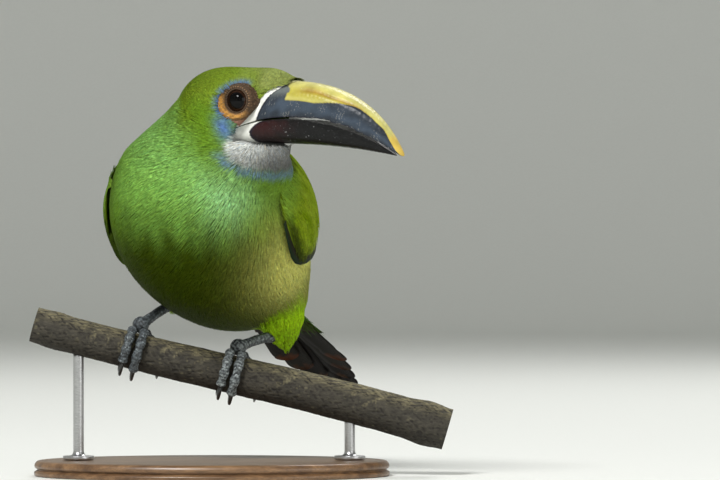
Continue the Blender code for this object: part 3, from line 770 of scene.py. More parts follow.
def markingAndPaintedLight(points):
    forward, left, up = head.split(points)
    along, side, high = trunk.split(points)
    across, level = points[..., 0], points[..., 2]
    height = level - perchHeight
    soft = wobble(points, 14, 3)

    blueGreen = lengthOf((points - trunk.at(38, 6, 14)) / 24)
    # a painted highlight: a pale blue-green pool on the breast's middle, placed by the scene's x and height
    breastHighlight = bell(np.hypot((across - 9) / 11, (level - 129) / 15), 0, 1) * ramp(along, 0, 20)
    shadow = bell(across + 46 - 0.3 * (level - 134) + 1.5 * soft, 0, 4.5) * bell(level, 136, 13)
    flank = lengthOf((points - trunk.at(-6, 39, -14)) / [15, 24, 17])
    colour = layered(markingsAndPaintedLight, markingsAndPaintedLight["breast"], [
        ("side", ramp(np.hypot(side, 0.5 * high) + 3 * soft, 14, 40)),
        ("breastBlueAndHighlight", 0.95 * bell(blueGreen, 0, 1)),
        # the lower body takes the dark olive by its height over the perch: partly its own colour, partly
        # painted shade
        ("belly", falling(height + 4 * soft, 46, 82)),
        ("breastBlueAndHighlight", 0.75 * breastHighlight),
        ("shadow", 0.85 * shadow),
        ("flank", bell(flank, 0, 1.35)),
        ("back", ramp(high + 2 * soft, 8, 20) * ramp(-along, -26, -8)),
        ("thigh", falling(thighDistance(points) + 1.5 * soft, -1, 5) * falling(height + 3 * soft, 22, 42)),
        ("vent", ramp(-along + 0.5 * high, 46, 56) * ramp(-high, -6, 0)),
    ])
    face = layered(markingsAndPaintedLight, markingsAndPaintedLight["crown"], [
        ("cheek", ramp(-up + soft, -1, 9)),
        ("forehead", ramp(forward + 3 * soft, -5, 17) * ramp(up, -2, 6)),
        ("nape", ramp(-forward - 0.3 * up + 2 * soft, 12, 26) * ramp(up, -22, -8)),
    ])
    away = lengthOf(points - head.at(0, 0, -6))
    colour = mix(face, colour, ramp(away + 2 * soft, 24, 44))

    distance, angle = roundEye(points)
    behind = ramp(np.cos(angle - math.radians(160)), -0.35, 0.1)
    lores = np.exp(-((forward + 0.9 + 0.15 * (up + 14)) / 3.4) ** 2 - ((up + 14.5) / 6.0) ** 2)
    blue = np.maximum(bell(distance - bareEdge(angle), 0.5, 1.3) * behind, lores)
    fold = bell(featherEdge(up) - forward, 0.5, 0.8) * ramp(-up, 12, 14) * falling(-up, 19.5, 21.5)
    reach = fromThroat(points) + 0.03 * wobble(points, 5, 8)
    colour = layered(markingsAndPaintedLight, colour, [
        ("faceBlue", 0.9 * np.clip(blue, 0, 1) * ramp(np.abs(left), 6, 9)),
        ("fold", 0.85 * fold * ramp(np.abs(left), 4, 7)),
        ("throatBlue", 0.75 * bell(reach, 1.14, 0.15) * ramp(-up, 23, 29)),
    ])
    # painted shade on the white throat: darker towards the bird's left and lower down, as under the bill
    throatShade = (1 - 0.58 * ramp(left + 0.5 * forward, -9, 3)) * (1 - 0.42 * ramp(-up, 20, 30))
    shaded = np.array(markingsAndPaintedLight["throat"]) * throatShade[..., None]
    colour = mix(colour, shaded, falling(reach, 0.89, 1.09))
    bristles = ramp(forward - featherEdge(up), -3.5, -1) * ramp(up, 4, 8)
    return mix(colour, markingsAndPaintedLight["bristle"], 0.45 * bristles)


# The skin: the outline drawn in by the coat's depth, both thighs, and a ring of bare folds at each eye.
skin = {
    "wayCount": 190,
    "aroundCount": 150,
    "faceDepth": 0.55,
    "bodyDepth": 2.3,
    "thighDepth": 1.6,
    "underFeathers": 0.55,  # how bright the markings are under the coat
    "bareRings": 60,
    "bareSpokes": 256,
    "lidRadius": 4.75,
    "lidOut": 15.6,  # the lid's height from the head's middle plane
    "socket": 5.5,
    "lid": (0.050, 0.030, 0.018),
    "bead": (0.24, 0.145, 0.075),
    "brown": (0.060, 0.034, 0.017),
    "orange": (0.50, 0.25, 0.055),
    "pink": (0.26, 0.13, 0.09),
    # furrow: dark brown for mottling, and for painted shade in the furrow and the wrinkles' troughs
    "furrow": (0.035, 0.022, 0.014),
}
featherSizes = {  # how far from the bill's root, and how long the feathers are there
    "away": (10, 17, 26, 38, 55, 80, 110),
    "length": (2.6, 3.2, 4.6, 7.0, 9.5, 12.0, 13.5),
}


def awayFromBill(points):
    return lengthOf(points - head.at(8, 0, -6))


def featherLength(points):  # longer on the throat
    forward, _, up = head.split(points)
    onThroat = ramp(-up, 18, 24) * ramp(forward, -12, -2) * falling(awayFromBill(points), 28, 40)
    plain = np.interp(awayFromBill(points), featherSizes["away"], featherSizes["length"])
    return plain * (1 + 0.45 * onThroat)


def coatDepth(points):  # grows from the face to the body
    return between(skin["faceDepth"], skin["bodyDepth"], ramp(awayFromBill(points), 14, 60))


def socketDepth(points):  # how much deeper the skin lies at the eye and the bill
    distance, angle = roundEye(points)
    forward, left, up = head.split(points)
    socket = falling(distance, 5.5, bareEdge(angle) + 0.6) * ramp(np.abs(left), 8, 10)
    onBill = ramp(forward - featherEdge(up), -0.6, 0.8) * ramp(up, -21.5, -20.3) * falling(up, 6, 12)
    return skin["socket"] * np.maximum(socket, onBill)


def bareOutline(points):  # a little under the feathers, and clear of the horn
    return np.minimum(bodyDistance(points) + 0.35, billDistance(points) - 0.45)


def barePatch(side):
    # radius by angle round the eye, laid on the head's outline; its height is lid beads, a furrow, two
    # raised rings and wrinkles that run round and across, and its back lies deeper
    angles = roundAngles(skin["bareSpokes"])
    share = np.linspace(0, 1, skin["bareRings"])[:, None]
    radius = between(skin["lidRadius"], bareEdge(angles) + 0.8, share)
    turn = np.broadcast_to(angles, radius.shape)
    forward, up = pose["eyeForward"] + radius * np.cos(turn), pose["eyeUp"] + radius * np.sin(turn)
    outward = side * head.left
    begin = 6.0
    outline = begin + outwardTo(head.at(forward, side * begin, up), outward, bareOutline)
    sunk = between(skin["lidOut"], outline, ramp(radius, 4.8, 9.2))
    level = head.at(forward, side * sunk, up)
    ripple = wobble(level, 3.2, 5)
    fine = wobble(level, 1.3, 6)
    lower = ramp(np.cos(turn - math.radians(235)), -0.1, 0.75)  # towards the lower back
    front = ramp(np.cos(turn - math.radians(15)), 0.0, 0.8)
    lid = bell(radius, 5.15, 0.34)
    ringOne = bell(radius, 6.1, 0.38)
    ringTwo = bell(radius, 7.2 + 0.2 * np.sin(3 * turn), 0.7)
    wrinkles = np.sin(2 * math.pi * (radius + 0.35 * ripple) / 0.95)
    spokes = np.sin(26 * turn + 2.2 * ripple)
    outer = ramp(radius, 6.4, 7.6)
    lidBeads, ringBeads = np.sin(46 * turn), np.sin(34 * turn + fine)
    relief = 0.42 * lid * (1 + 0.35 * lidBeads) + 0.26 * ringOne * (1 + 0.35 * ringBeads)
    relief = relief + ringTwo * (0.18 + 0.5 * lower) + 0.12 * fine * outer
    relief = relief + 0.13 * wrinkles * outer * (1 - 0.6 * lower) + 0.2 * spokes * outer * front
    inside = falling(share, 0.86, 1.0)  # the outer edge dips under the feathers, the inner to the eyeball
    relief = relief * inside - 0.9 * (1 - inside) - 0.25 * falling(radius, 4.75, 5.0)
    face = level + relief[..., None] * outward
    back = level - 1.6 * outward

    spots = ramp(np.sin(40 * turn + 1.5 * fine) + wrinkles, 0.9, 1.7)
    # painted shade in the furrow between the lid and the first ring, and in the troughs of the wrinkles
    dark = bell(radius, 5.62, 0.2) + 0.55 * outer * ramp(-wrinkles - 0.9 * spokes * front, 0.2, 1.2)
    colour = layered(skin, skin["brown"], [
        ("orange", np.clip(1.1 * lower * bell(radius, 6.9, 1.05), 0, 1)),
        ("furrow", 0.45 * ramp(fine, 0.1, 0.7)),
        ("pink", 0.8 * ramp(radius, 8.4, 9.4) * ramp(-np.sin(turn), 0.1, 0.7)),
        ("bead", 0.85 * ringOne * ramp(ringBeads, -0.2, 0.8)),
        ("bead", 0.30 * outer * spots * (1 - lower)),
        ("lid", ramp(-radius, -5.8, -5.3)),
        ("bead", 0.55 * lid * ramp(lidBeads, 0.1, 0.9)),
        ("furrow", 0.8 * np.clip(dark, 0, 1)),
    ])
    ringsOut = np.concatenate([face, back[::-1]])
    colours = np.concatenate([colour, colour[::-1]]).reshape(-1, 3)
    rows, sides = ringsOut.shape[:2]
    quads = ringQuads(rows + 1, sides) % (rows * sides)  # the last ring joins the first one
    if side > 0:
        quads = quads[:, ::-1]
    return (ringsOut.reshape(-1, 3), quads, np.zeros((0, 3), int)), colours


def thighGrid(name, shrink=0.0, rows=40, sides=48):
    path, radii = thighPath(name, rows)
    return tubeRings(path, np.maximum(radii - shrink, 0.5), sides, up=(0, 1, 0))


def makeSkin():
    outline = bodyGrid(skin["wayCount"], skin["aroundCount"])
    _, slope = settle(outline, 0.0, bodyDistance, 1)
    parts = [closedTube(outline - (coatDepth(outline) + socketDepth(outline))[..., None] * slope)]
    parts += [closedTube(thighGrid(name, skin["thighDepth"])) for name in thighs]
    tints = [markingAndPaintedLight(part[0]) * skin["underFeathers"] for part in parts]
    for side in (1, -1):
        part, colours = barePatch(side)
        parts.append(part)
        tints.append(colours)
    whole = joined(parts)
    bareFaces = len(parts[-1][1]) + len(parts[-2][1])
    kinds = np.zeros(len(whole[1]) + len(whole[2]), int)
    kinds[len(whole[1]) - bareFaces:len(whole[1])] = 1
    nodes = ["head", "neck", "trunk", "thigh_left", "thigh_right"]
    makePiece("skin", whole, [featheredSkin, bareSkin], nodes, np.vstack(tints), kinds=kinds)
    return outline


# The coat: fans of narrow blades. A blade is a ridge over a flat underside, three points a ring and one
# at its tip.
coat = {
    "bladesInFan": 6,
    "fanSpread": 0.34,  # radians each side
    "width": (0.18, 0.32),  # on the face and on the body
    "cover": 5.5,  # how many blades lie over each other
    "fill": 0.8,  # a blade's mean width as a share of its widest
    "rootShade": 0.86,
    "tipShade": 1.10,
    "profiles": {2: (0.8, 1.0), 3: (0.7, 1.0, 0.8)},  # widths along a blade of two or three rings
    "patch": 0.003,  # a fan's size on the bake map
}


def spreadOver(weights, count):
    # even but unpatterned places: a two-number sequence of the plastic ratio, bent by the weights
    steps = np.arange(count) + 0.5
    first, second = (steps * 0.7548776662) % 1, (steps * 0.5698402910) % 1
    rows = np.concatenate([[0], np.cumsum(weights.sum(1))])
    row = np.interp(first, rows / rows[-1], np.arange(len(rows)))
    whole = np.minimum(row.astype(int), len(weights) - 1)
    within = np.cumsum(weights, axis=1)[whole]
    target = second * within[:, -1]
    column = (within < target[:, None]).sum(1)
    before = np.where(column > 0, np.take_along_axis(within, np.maximum(column - 1, 0)[:, None], 1)[:, 0], 0)
    size = np.maximum(weights[whole, np.minimum(column, weights.shape[1] - 1)], 1e-12)
    return row, column + np.clip((target - before) / size, 0, 1)


def spreadFans(areas, lengths, widths):  # as many fans as cover the cells
    weights = areas * coat["cover"] / (lengths * widths * coat["fill"]) / coat["bladesInFan"]
    return spreadOver(weights, int(weights.sum()))


def bakePlaces(row, column, grid):  # from rows and columns to places on the bake map
    shares = np.stack([row / (len(grid) - 1), column / grid.shape[1]], -1)
    return shares * 0.97 + 0.015


def bladeWidth(lengths):
    return between(*coat["width"], ramp(lengths, 2.6, 11))


def gridAt(grid, row, column):  # the grid's values at fractional places; columns wrap round
    top, left = np.minimum(row.astype(int), len(grid) - 2), column.astype(int)
    down, right = row - top, column - left
    if grid.ndim == 3:
        down, right = down[..., None], right[..., None]
    left, onward = left % grid.shape[1], (left + 1) % grid.shape[1]
    near, far = (grid[line, left] * (1 - right) + grid[line, onward] * right for line in (top, top + 1))
    return near * (1 - down) + far * down


def cellAreas(grid):
    onward = np.roll(grid, -1, axis=1)
    diagonals = np.cross(onward[1:] - grid[:-1], grid[1:] - onward[:-1])
    return lengthOf(diagonals) / 2


def bladePart(centres, normals, halfWidths, rolls, profile):
    # each ring is left, right and ridge; the profile gives the width at each ring
    count, ringCount = len(centres), centres.shape[1] - 1
    along = unit(np.gradient(centres, axis=1))
    side = unit(np.cross(along, normals))
    top = np.cross(side, along)
    rolls = rolls[:, None]
    side, top = circle(rolls, side, top), circle(rolls, top, -side)
    wide = (halfWidths[:, None] * np.array(profile))[..., None]
    middle, side, top = (part[:, :ringCount] for part in (centres, side, top))
    trio = np.stack([middle - side * wide, middle + side * wide, middle + top * wide * 0.35], axis=2)
    points = np.concatenate([trio.reshape(count, -1, 3), centres[:, -1:]], axis=1)
    quads = []
    for low in range(0, 3 * ringCount - 3, 3):
        for first, second in ((2, 0), (1, 2), (0, 1)):
            quads.append([low + first, low + 3 + first, low + 3 + second, low + second])
    last, tip = 3 * ringCount - 3, 3 * ringCount
    triangles = [[0, 1, 2], [last + 2, tip, last], [last + 1, tip, last + 2], [last, tip, last + 1]]
    starts = np.arange(count)[:, None, None] * points.shape[1]
    quads, triangles = np.array(quads) + starts, np.array(triangles) + starts
    return points.reshape(-1, 3), quads.reshape(-1, 4), triangles.reshape(-1, 3)


def bladeTints(base, shares, random):
    # root to tip shading, times each blade's own brightness and warmth
    count = len(base)
    bright = np.exp(random.normal(0, 0.08, (count, 1, 1)))
    warm = random.normal(0, 0.05, (count, 1, 1)) * np.array([1.0, 0.1, -1.0])
    shade = between(coat["rootShade"], coat["tipShade"], ramp(shares, 0, 0.75))
    return base * bright * (1 + warm) * shade[None, :, None]


def growCoat(name, fans, lay, lengths, depths, distance, seed, rings=2, spread=1.0, paint=markingAndPaintedLight):
    # each fan's blades leave its root at angles, bend back to the lay and settle onto the outline
    roots, normals, places = fans
    random = np.random.default_rng(seed)
    blades = coat["bladesInFan"]
    count = len(roots) * blades
    fan = np.repeat(np.arange(len(roots)), blades)
    slot = np.tile(np.arange(blades), len(roots))
    lay = flattened(lay, normals)[fan]
    lengths, normals, depths = lengths[fan], normals[fan], np.broadcast_to(depths, len(roots))[fan]
    across = np.cross(normals, lay)
    aim = (slot + random.uniform(-0.4, 0.4, count)) / (blades - 1) * 2 - 1
    aim = aim * coat["fanSpread"] * spread
    own = lengths * random.uniform(0.78, 1.12, count) * (1 - 0.25 * np.abs(aim) / coat["fanSpread"])
    shift = random.normal(0, 0.16, (count, 2)) * lengths[:, None]
    start = roots[fan] + across * shift[:, :1] * 0.6 + lay * shift[:, 1:]
    shares = np.linspace(0, 1, rings + 1)
    stepOn = (own[:, None] * shares)[..., None] * lay[:, None]
    stepOut = (own * np.sin(aim))[:, None] * (shares - 0.5 * shares**2)
    centres = start[:, None] + stepOn + stepOut[..., None] * across[:, None]
    lift = random.normal(0.0, 0.08, count) * (0.3 + 0.7 * ramp(lengths, 3, 9)) - 0.1
    level = -0.7 * depths[:, None] * (1 - shares) ** 1.5 + lift[:, None] * shares
    centres, normals = settle(centres, level, distance)
    half = 0.5 * bladeWidth(lengths) * random.uniform(0.75, 1.3, count)
    part = bladePart(centres, normals, half, random.normal(0, 0.14, count), coat["profiles"][rings])
    base = np.repeat(paint(centres[:, rings // 2])[:, None], 3 * rings + 1, axis=1)
    alongShares = np.append(np.repeat(shares[:-1], 3), 1.0)
    tint = bladeTints(base, alongShares, random).reshape(-1, 3)
    sideways = np.append(np.tile([-0.4, 0.4, 0.0], rings), 0.0)
    offsets = np.broadcast_arrays((slot[:, None] + 0.5 + sideways) / blades - 0.5, alongShares - 0.5)
    uv = (places[fan][:, None] + coat["patch"] * np.stack(offsets, -1)).reshape(-1, 2)
    makePiece(name, part, [plumage], (), tint, uv)
    print(name, len(roots), "fans", len(part[1]) * 2 + len(part[2]), "triangles")


def layOf(points, normals):
    # away from the bill over head and breast, more and more towards the tail behind, round the eyes
    fromBill = unit(points - head.at(8, 0, -18))
    along = trunk.local(points)[:, 0]
    share = 0.75 * ramp(awayFromBill(points), 30, 85) * ramp(-along, -30, 12)
    lay = mix(fromBill, mix(-trunk.forward, tailAxis, ramp(-along, 35, 60)), share)
    distance, angle = roundEye(points)
    near = bell(distance - bareEdge(angle), 0, 2.5) * (awayFromBill(points) < 30)
    return flattened(lay + 1.2 * near[:, None] * circle(angle, head.forward, head.up), normals)


def wingEdges(share):
    # angles from the back's middle round to the wing's upper and lower edges
    nose = np.sqrt(np.maximum(1 - (1 - np.minimum(share / 0.3, 1)) ** 2, 0))
    lobe = 10 * np.maximum(1 - ((share - 0.24) / 0.26) ** 2, 0)  # the coverts hang lowest over the forearm
    lower = 78 + 23 * nose - 76 * (np.maximum(share - 0.27, 0) / 0.73) ** 1.6 + lobe
    return np.radians(74 - 52 * nose - 3 * share), np.radians(lower)


wing = {
    "ends": (34.0, -77.0),  # bend and tip along the trunk
    "axisUp": 2.0,
    "clear": 1.8,
    "arm": {1: 4.0, -1: 3.0},  # how high the forearm stands, left and right
    "dropBelow": {1: 34, -1: 62},  # millimetres for each radian past the lower edge
    "dropAbove": 26,
    "primaryTips": (0.93, 0.97, 0.99, 1.0, 0.985, 0.955, 0.92, 0.885, 0.85, 0.82),
    "coverts": (0.215, 0.32, 0.006),
    "covertEdge": (0.36, 0.48, 0.03),
    "green": (0.105, 0.17, 0.008),
    "bluish": (0.010, 0.020, 0.008),
    "dark": (0.007, 0.007, 0.005),
    "tertial": (0.14, 0.22, 0.008),
    "shaft": (0.03, 0.022, 0.014),
    "back": (0.12, 0.20, 0.012),
    # dusky: dark olive at the wing's lower edge, partly dark feathers and partly painted shade
    "dusky": (0.030, 0.044, 0.007),
    "bend": (0.24, 0.42, 0.05),
}


def wingPlace(points, side=None):
    # share of the way from bend to tip, angle round from the back on the given or the nearer side, and
    # distance from the middle line
    along, across, up = trunk.split(points)
    low, high = wing["ends"]
    across, up = np.abs(across) if side is None else side * across, up - wing["axisUp"]
    return (low - along) / (low - high), np.arctan2(across, up), np.hypot(across, up)


def underWing(points):  # how far inside a wing's outline a point is, in radians, negative outside
    share, angle, _ = wingPlace(points)
    upper, lower = wingEdges(np.clip(share, 0, 1))
    inside = np.minimum(angle - upper, lower - angle)
    return np.where((share > 0.05) & (share < 1), inside, -1.0)


def hasFeathers(points):
    forward, _, up = head.split(points)
    distance, angle = roundEye(points)
    near = awayFromBill(points) < 32
    bare = near & (distance < bareEdge(angle) - 0.1)
    onBill = near & (up > -20.8) & (forward > featherEdge(up) - 0.2)
    lores = near & (up > -11) & (up < -1.0) & (forward > 8) & (distance < 12)
    along = trunk.local(points)[..., 0]
    return ~(bare | onBill | lores) & (underWing(points) < 0.12 + 0.5 * ramp(along, 12, 26))


coatPieces = {  # name: start and end of the way to the tail
    "coatFace": (0.0, 0.12),
    "coatCrown": (0.12, 0.24),
    "coatNape": (0.24, 0.36),
    "coatNeck": (0.36, 0.46),
    "coatBreast": (0.46, 0.57),
    "coatSides": (0.57, 0.69),
    "coatBelly": (0.69, 0.84),
    "coatRump": (0.84, 1.0),
}
foreheadFan = {
    "reach": (11, 30),
    "turn": 86,
    "length": 3.0,
    "cover": 1.3,  # thicker than the rest of the coat
    "rows": 60,
    "columns": 90,
}
thighCoat = {
    "length": 8.5,
    "spacing": (9.0, 0.42),  # the blade length and width that the number of blades is for
    "depth": 1.5,
}


def foreheadOutline(points):  # the body's outline joined to the bill's, lifted clear of the horn
    return merge(bodyDistance(points), billDistance(points) - 0.9, 2)


def makeForehead():
    # the feathers that run forward over the bill's root, on a grid of forward steps and turns
    rows, columns = foreheadFan["rows"], foreheadFan["columns"]
    turns = np.radians(np.linspace(-foreheadFan["turn"], foreheadFan["turn"], columns))
    forward, turn = np.meshgrid(np.linspace(*foreheadFan["reach"], rows), turns, indexing="ij")
    start, out = head.at(forward, 0, -1.0), circle(turn, head.up, head.left)
    grid = start + outwardTo(start, out, foreheadOutline)[..., None] * out
    areas = cellAreas(grid)[:, :-1] * foreheadFan["cover"]
    row, column = spreadFans(areas, foreheadFan["length"], coat["width"][0])
    roots = gridAt(grid, row, np.minimum(column, columns - 1.001))
    roots, normals = settle(roots, 0.0, foreheadOutline, 1)
    ahead, _, up = head.split(roots)
    distance, angle = roundEye(roots)
    keep = (ahead < featherEdge(up) - 2.2) & (up > 1.0) & (distance > bareEdge(angle))
    roots, normals = roots[keep], normals[keep]
    front = ramp(ahead - featherEdge(up), -7, -1)[keep]
    lay = mix(layOf(roots, normals), head.forward * 0.9 + 0.15 * head.up, front)
    fans = roots, normals, bakePlaces(row[keep], column[keep], grid)
    growCoat("coatForehead", fans, lay, foreheadFan["length"] * (1 - 0.35 * front), 0.3, foreheadOutline, 31)


def makeCoat(outline):
    lastRow = len(outline) - 1
    for number, (name, (start, end)) in enumerate(coatPieces.items()):
        grid = outline[round(start * lastRow):round(end * lastRow) + 1]
        middle = (grid[:-1] + np.roll(grid, -1, axis=1)[1:]) / 2
        lengths = featherLength(middle)
        row, column = spreadFans(cellAreas(grid) * hasFeathers(middle), lengths, bladeWidth(lengths))
        roots, normals = settle(gridAt(grid, row, column), 0.0, bodyDistance, 1)
        keep = hasFeathers(roots)
        roots, normals = roots[keep], normals[keep]
        fans = roots, normals, bakePlaces(row[keep], column[keep], grid)
        lay = layOf(roots, normals)
        growCoat(name, fans, lay, featherLength(roots), coatDepth(roots), coatDistance, number)
    for number, name in enumerate(thighs):
        grid = thighGrid(name)
        row, column = spreadFans(cellAreas(grid), *thighCoat["spacing"])
        roots = gridAt(grid, row, column)
        keep = bodyDistance(roots) > -1.0
        roots, normals = settle(roots[keep], 0.0, coatDistance, 1)
        row, column = row[keep], column[keep]
        path, _ = thighPath(name, len(grid))
        lay = unit(np.gradient(path, axis=0))[row.astype(int)]
        fans = roots, normals, bakePlaces(row, column, grid)
        lengths = thighCoat["length"] * (1 - 0.72 * ramp(row / len(grid), 0.25, 0.95))
        title = "coatThigh" + name.capitalize()
        growCoat(title, fans, lay, lengths, thighCoat["depth"], coatDistance, 20 + number, rings=3)


outline = makeSkin()
print("skin made")
makeCoat(outline)
makeForehead()
print("coat made")


# The bill: fine sections along both halves, with worn edges, a groove and the colours painted on.
billMesh = {
    "stations": 210,
    "arc": 96,
    "floor": 20,
    "hollow": 1.0,  # how deep the hidden face between the halves is
    "yellowStart": 0.238,
    "grooveDepth": 0.42,
    "tipLength": 0.014,
}


def boxed(value):  # bends a circle into a rounded box
    return np.sign(value) * np.abs(value) ** bill["roundness"]


def evenAngles(count):  # angles over the arc of a section, evenly spaced along its rounded outline
    fine = np.linspace(0, math.pi, 3000)
    steps = np.hypot(np.diff(boxed(np.cos(fine))), 1.4 * np.diff(boxed(np.sin(fine))))
    run = np.concatenate([[0], np.cumsum(steps)])
    return np.interp(np.linspace(0, run[-1], count), run, fine)


def outwardNormals(grid):
    # the cross product of the grid's two directions, turned away from each ring's middle
    down = np.gradient(grid, axis=0)
    around = np.roll(grid, -1, axis=1) - np.roll(grid, 1, axis=1)
    normals = unit(np.cross(around, down))
    side = np.sign(dot(normals, grid - grid.mean(1, keepdims=True)).sum())
    return normals * side


def yellowEdge(t):  # how far up the side the yellow begins
    drop = 0.86 * (np.maximum(t - 0.84, 0) / 0.16) ** 1.8
    return 0.50 + 0.36 * ramp(t, 0.42, 0.70) - drop


def grooveLine(t):  # the groove runs from high on the side down to the yellow's edge
    edge = yellowEdge(t)
    return edge + (1 - edge) * (0.60 - 0.52 * ramp(t, 0.40, 0.74))


def edgeNicks(t):  # how far the cutting edges stand apart, from worn teeth and two wider gaps
    teeth = np.maximum(np.sin(2 * math.pi * (19 * t + 0.35 * np.sin(17 * t))), 0) ** 1.6
    worn = ramp(t, 0.30, 0.42) * falling(t, 0.80, 0.92)
    always = 0.2 * ramp(t, 0.04, 0.12) * falling(t, 0.90, 0.97)
    return always + worn * (0.42 * teeth + 0.14) + 0.85 * bell(t, 0.575, 0.05) + 0.7 * bell(t, 0.70, 0.035)


def paintUpper(t, share, forward, up, places):
    soft, fine = wobble(places, 6, 21), wobble(places, 1.5, 22)
    edge = yellowEdge(t) + 0.012 * soft + 0.007 * fine
    start = billMesh["yellowStart"] + 0.022 * bell(share - edge, 0, 0.1) + 0.004 * fine
    start = start - 0.08 * ramp(share, 0.72, 0.98)
    isYellow = ramp(share - edge, -0.012, 0.014) * ramp(t - start, 0, 0.012)
    streak = bell(share - grooveLine(t), 0, 0.05 + 0.05 * falling(t, 0.3, 0.5))
    yellow = layered(bill, bill["yellow"], [
        ("yellowPale", ramp(share, 0.72, 0.97)),
        ("yellowPale", 0.7 * bell(share - edge, 0.05, 0.06) * falling(t, 0.5, 0.6)),
        ("ochre", 0.8 * streak * ramp(t, 0.26, 0.36) * falling(t, 0.62, 0.78)),
        ("ochre", 0.30 * bell(share - edge, 0.0, 0.025)),
        ("tip", ramp(t + 0.02 * soft, 0.84, 0.96)),
    ])
    ahead = forward - bandFront(up) + 0.12 * fine
    flecks = ramp(wobble(places, 0.9, 27), 0.55, 0.8) * ramp(wobble(places, 7, 28), 0.0, 0.5) * (1 - isYellow)
    colour = layered(bill, bill["black"], [
        # slate along the middle of the upper half's side: partly the horn's own colour, partly a painted
        # sheen
        ("slate", bell(share + 0.1 * soft, 0.36, 0.2) * ramp(t, 0.1, 0.24)),
        ("grey", 0.75 * ramp(share, 0.5, 0.8) * falling(t, 0.22, 0.3)),
    ])
    return layered(bill, mix(colour, yellow, isYellow), [
        ("rim", 0.85 * bell(ahead, 0.3, 0.35)),
        ("white", ramp(-ahead, -0.05, 0.3) * (1 - 0.75 * ramp(up, 4, 6.5))),
        ("rim", 0.8 * bell(share, 0, 0.035) * ramp(forward, 12, 18)),
        ("worn", 0.5 * flecks * ramp(ahead, 1, 3) * falling(share, 0.4, 0.7)),
        ("worn", 0.4 * bell(share, 0.02, 0.025) * ramp(fine, 0.45, 0.8) * ramp(t, 0.3, 0.4)),
    ])


def paintLower(t, share, forward, up, places):
    soft, fine = wobble(places, 6, 23), wobble(places, 1.5, 24)
    ahead = forward - (7.3 + 0.16 * (up + 16.6) ** 2) + 0.15 * fine
    thin = bell(share, 0.012, 0.02) * ramp(t, 0.32, 0.42) * falling(t, 0.9, 0.97)
    return layered(bill, bill["soot"], [
        ("maroon", 0.9 * bell(forward, 13 + 2 * soft, 10) * bell(up, -12.5, 5.5)),
        ("soot", 0.8 * bell(share, 0, 0.08)),
        ("rim", 0.9 * bell(ahead, 0.6, 0.6)),
        ("white", ramp(-ahead, -0.1, 0.5)),
        ("worn", 0.15 * thin * (0.7 + 0.3 * fine)),
    ])


def billHalf(name, outerCurve, innerCurve, narrowing, paint, nicks):
    t = np.linspace(0, 1, billMesh["stations"])[:, None]
    outer, inner = bezier(outerCurve, t[:, 0]), bezier(innerCurve, t[:, 0])
    length = np.maximum(lengthOf(outer - inner)[:, None], 0.8)
    way = unit(outer - inner)
    angles = evenAngles(billMesh["arc"])
    floor = np.linspace(-1, 1, billMesh["floor"] + 2)[1:-1]
    across = np.concatenate([boxed(np.cos(angles)), floor])
    share = np.concatenate([boxed(np.sin(angles)), 0 * floor])[None, :]
    hollow = np.concatenate([0 * angles, 1 - floor**4])[None, :]
    out = length * share + np.minimum(billMesh["hollow"], 0.3 * length) * hollow
    out = out + nicks * edgeNicks(t) * falling(out, 0, 2.2) * (1 - hollow)
    width = billHalfWidth(t) * narrowing
    flat = inner[:, None] + out[..., None] * way[:, None]
    grid = head.at(flat[..., 0], width * across, flat[..., 1])
    middle = grid.mean(1, keepdims=True)
    rounding = np.sqrt(1 - np.clip((t - 1 + billMesh["tipLength"]) / billMesh["tipLength"], 0, 0.995) ** 2)
    grid = middle + (grid - middle) * rounding[..., None]
    t, share = np.broadcast_to(t, out.shape), np.broadcast_to(share, out.shape)
    forward, up = flat[..., 0], flat[..., 1]
    colour = paint(t, share, forward, up, grid)
    relief = 0.05 * wobble(grid, 2.2, 25) - 0.12 * np.maximum(wobble(grid, 1.1, 26) - 0.55, 0)
    if paint is paintUpper:
        groove = bell(share - grooveLine(t), 0, 0.055) * ramp(t, 0.24, 0.36) * falling(t, 0.6, 0.8)
        relief = relief - billMesh["grooveDepth"] * groove
        relief = relief + 0.22 * ramp(bandFront(up) - forward, -0.3, 0.5)
    relief = relief * falling(t, 0.93, 0.98) * (1 - hollow)
    grid = grid + relief[..., None] * outwardNormals(grid)
    makeTube(name, grid, billHorn, colour)


lowerGape = [(forward, up - bill["halfGap"]) for forward, up in bill["gape"][:3]] + [bill["lowerGapeTip"]]
lowerGonys = [*bill["gonys"][:3], bill["lowerGonysTip"]]
billHalf("bill_upper", bill["culmen"], bill["gape"], 1.0, paintUpper, 1.0)
billHalf("bill_lower", lowerGonys, lowerGape, bill["lowerNarrowing"], paintLower, 0.3)
print("bill made")


# The eyes: a ball whose clear front bulges, a black pupil and a dark brown iris with fine spokes.
eye = {
    "radius": 5.7,
    "bulge": 0.35,
    "pupil": 0.70,  # angles from the eye's axis
    "iris": 0.98,
    "tilt": 7,
    "rings": 64,
    "sides": 80,
    "black": (0.002, 0.002, 0.002),
    "brown": (0.024, 0.010, 0.005),
    "rim": (0.006, 0.004, 0.003),
}


def ballGrid(place, axis, rings, sides, radius):
    # rings of latitude from one pole to the other; the radius may vary with the angle from the axis
    theta = np.linspace(0.01, math.pi - 0.01, rings)[:, None]
    first = unit(np.cross(axis, [0.3, 0.2, 1.0]))
    spokes = circle(roundAngles(sides), first, np.cross(axis, first))
    reach = radius(theta) if callable(radius) else np.full(theta.shape, float(radius))
    across, along = reach * np.sin(theta), reach * np.cos(theta)
    return place + across[..., None] * spokes + along[..., None] * axis, theta


def bulging(theta):
    return eye["radius"] + eye["bulge"] * falling(theta, 0.35, 0.85)


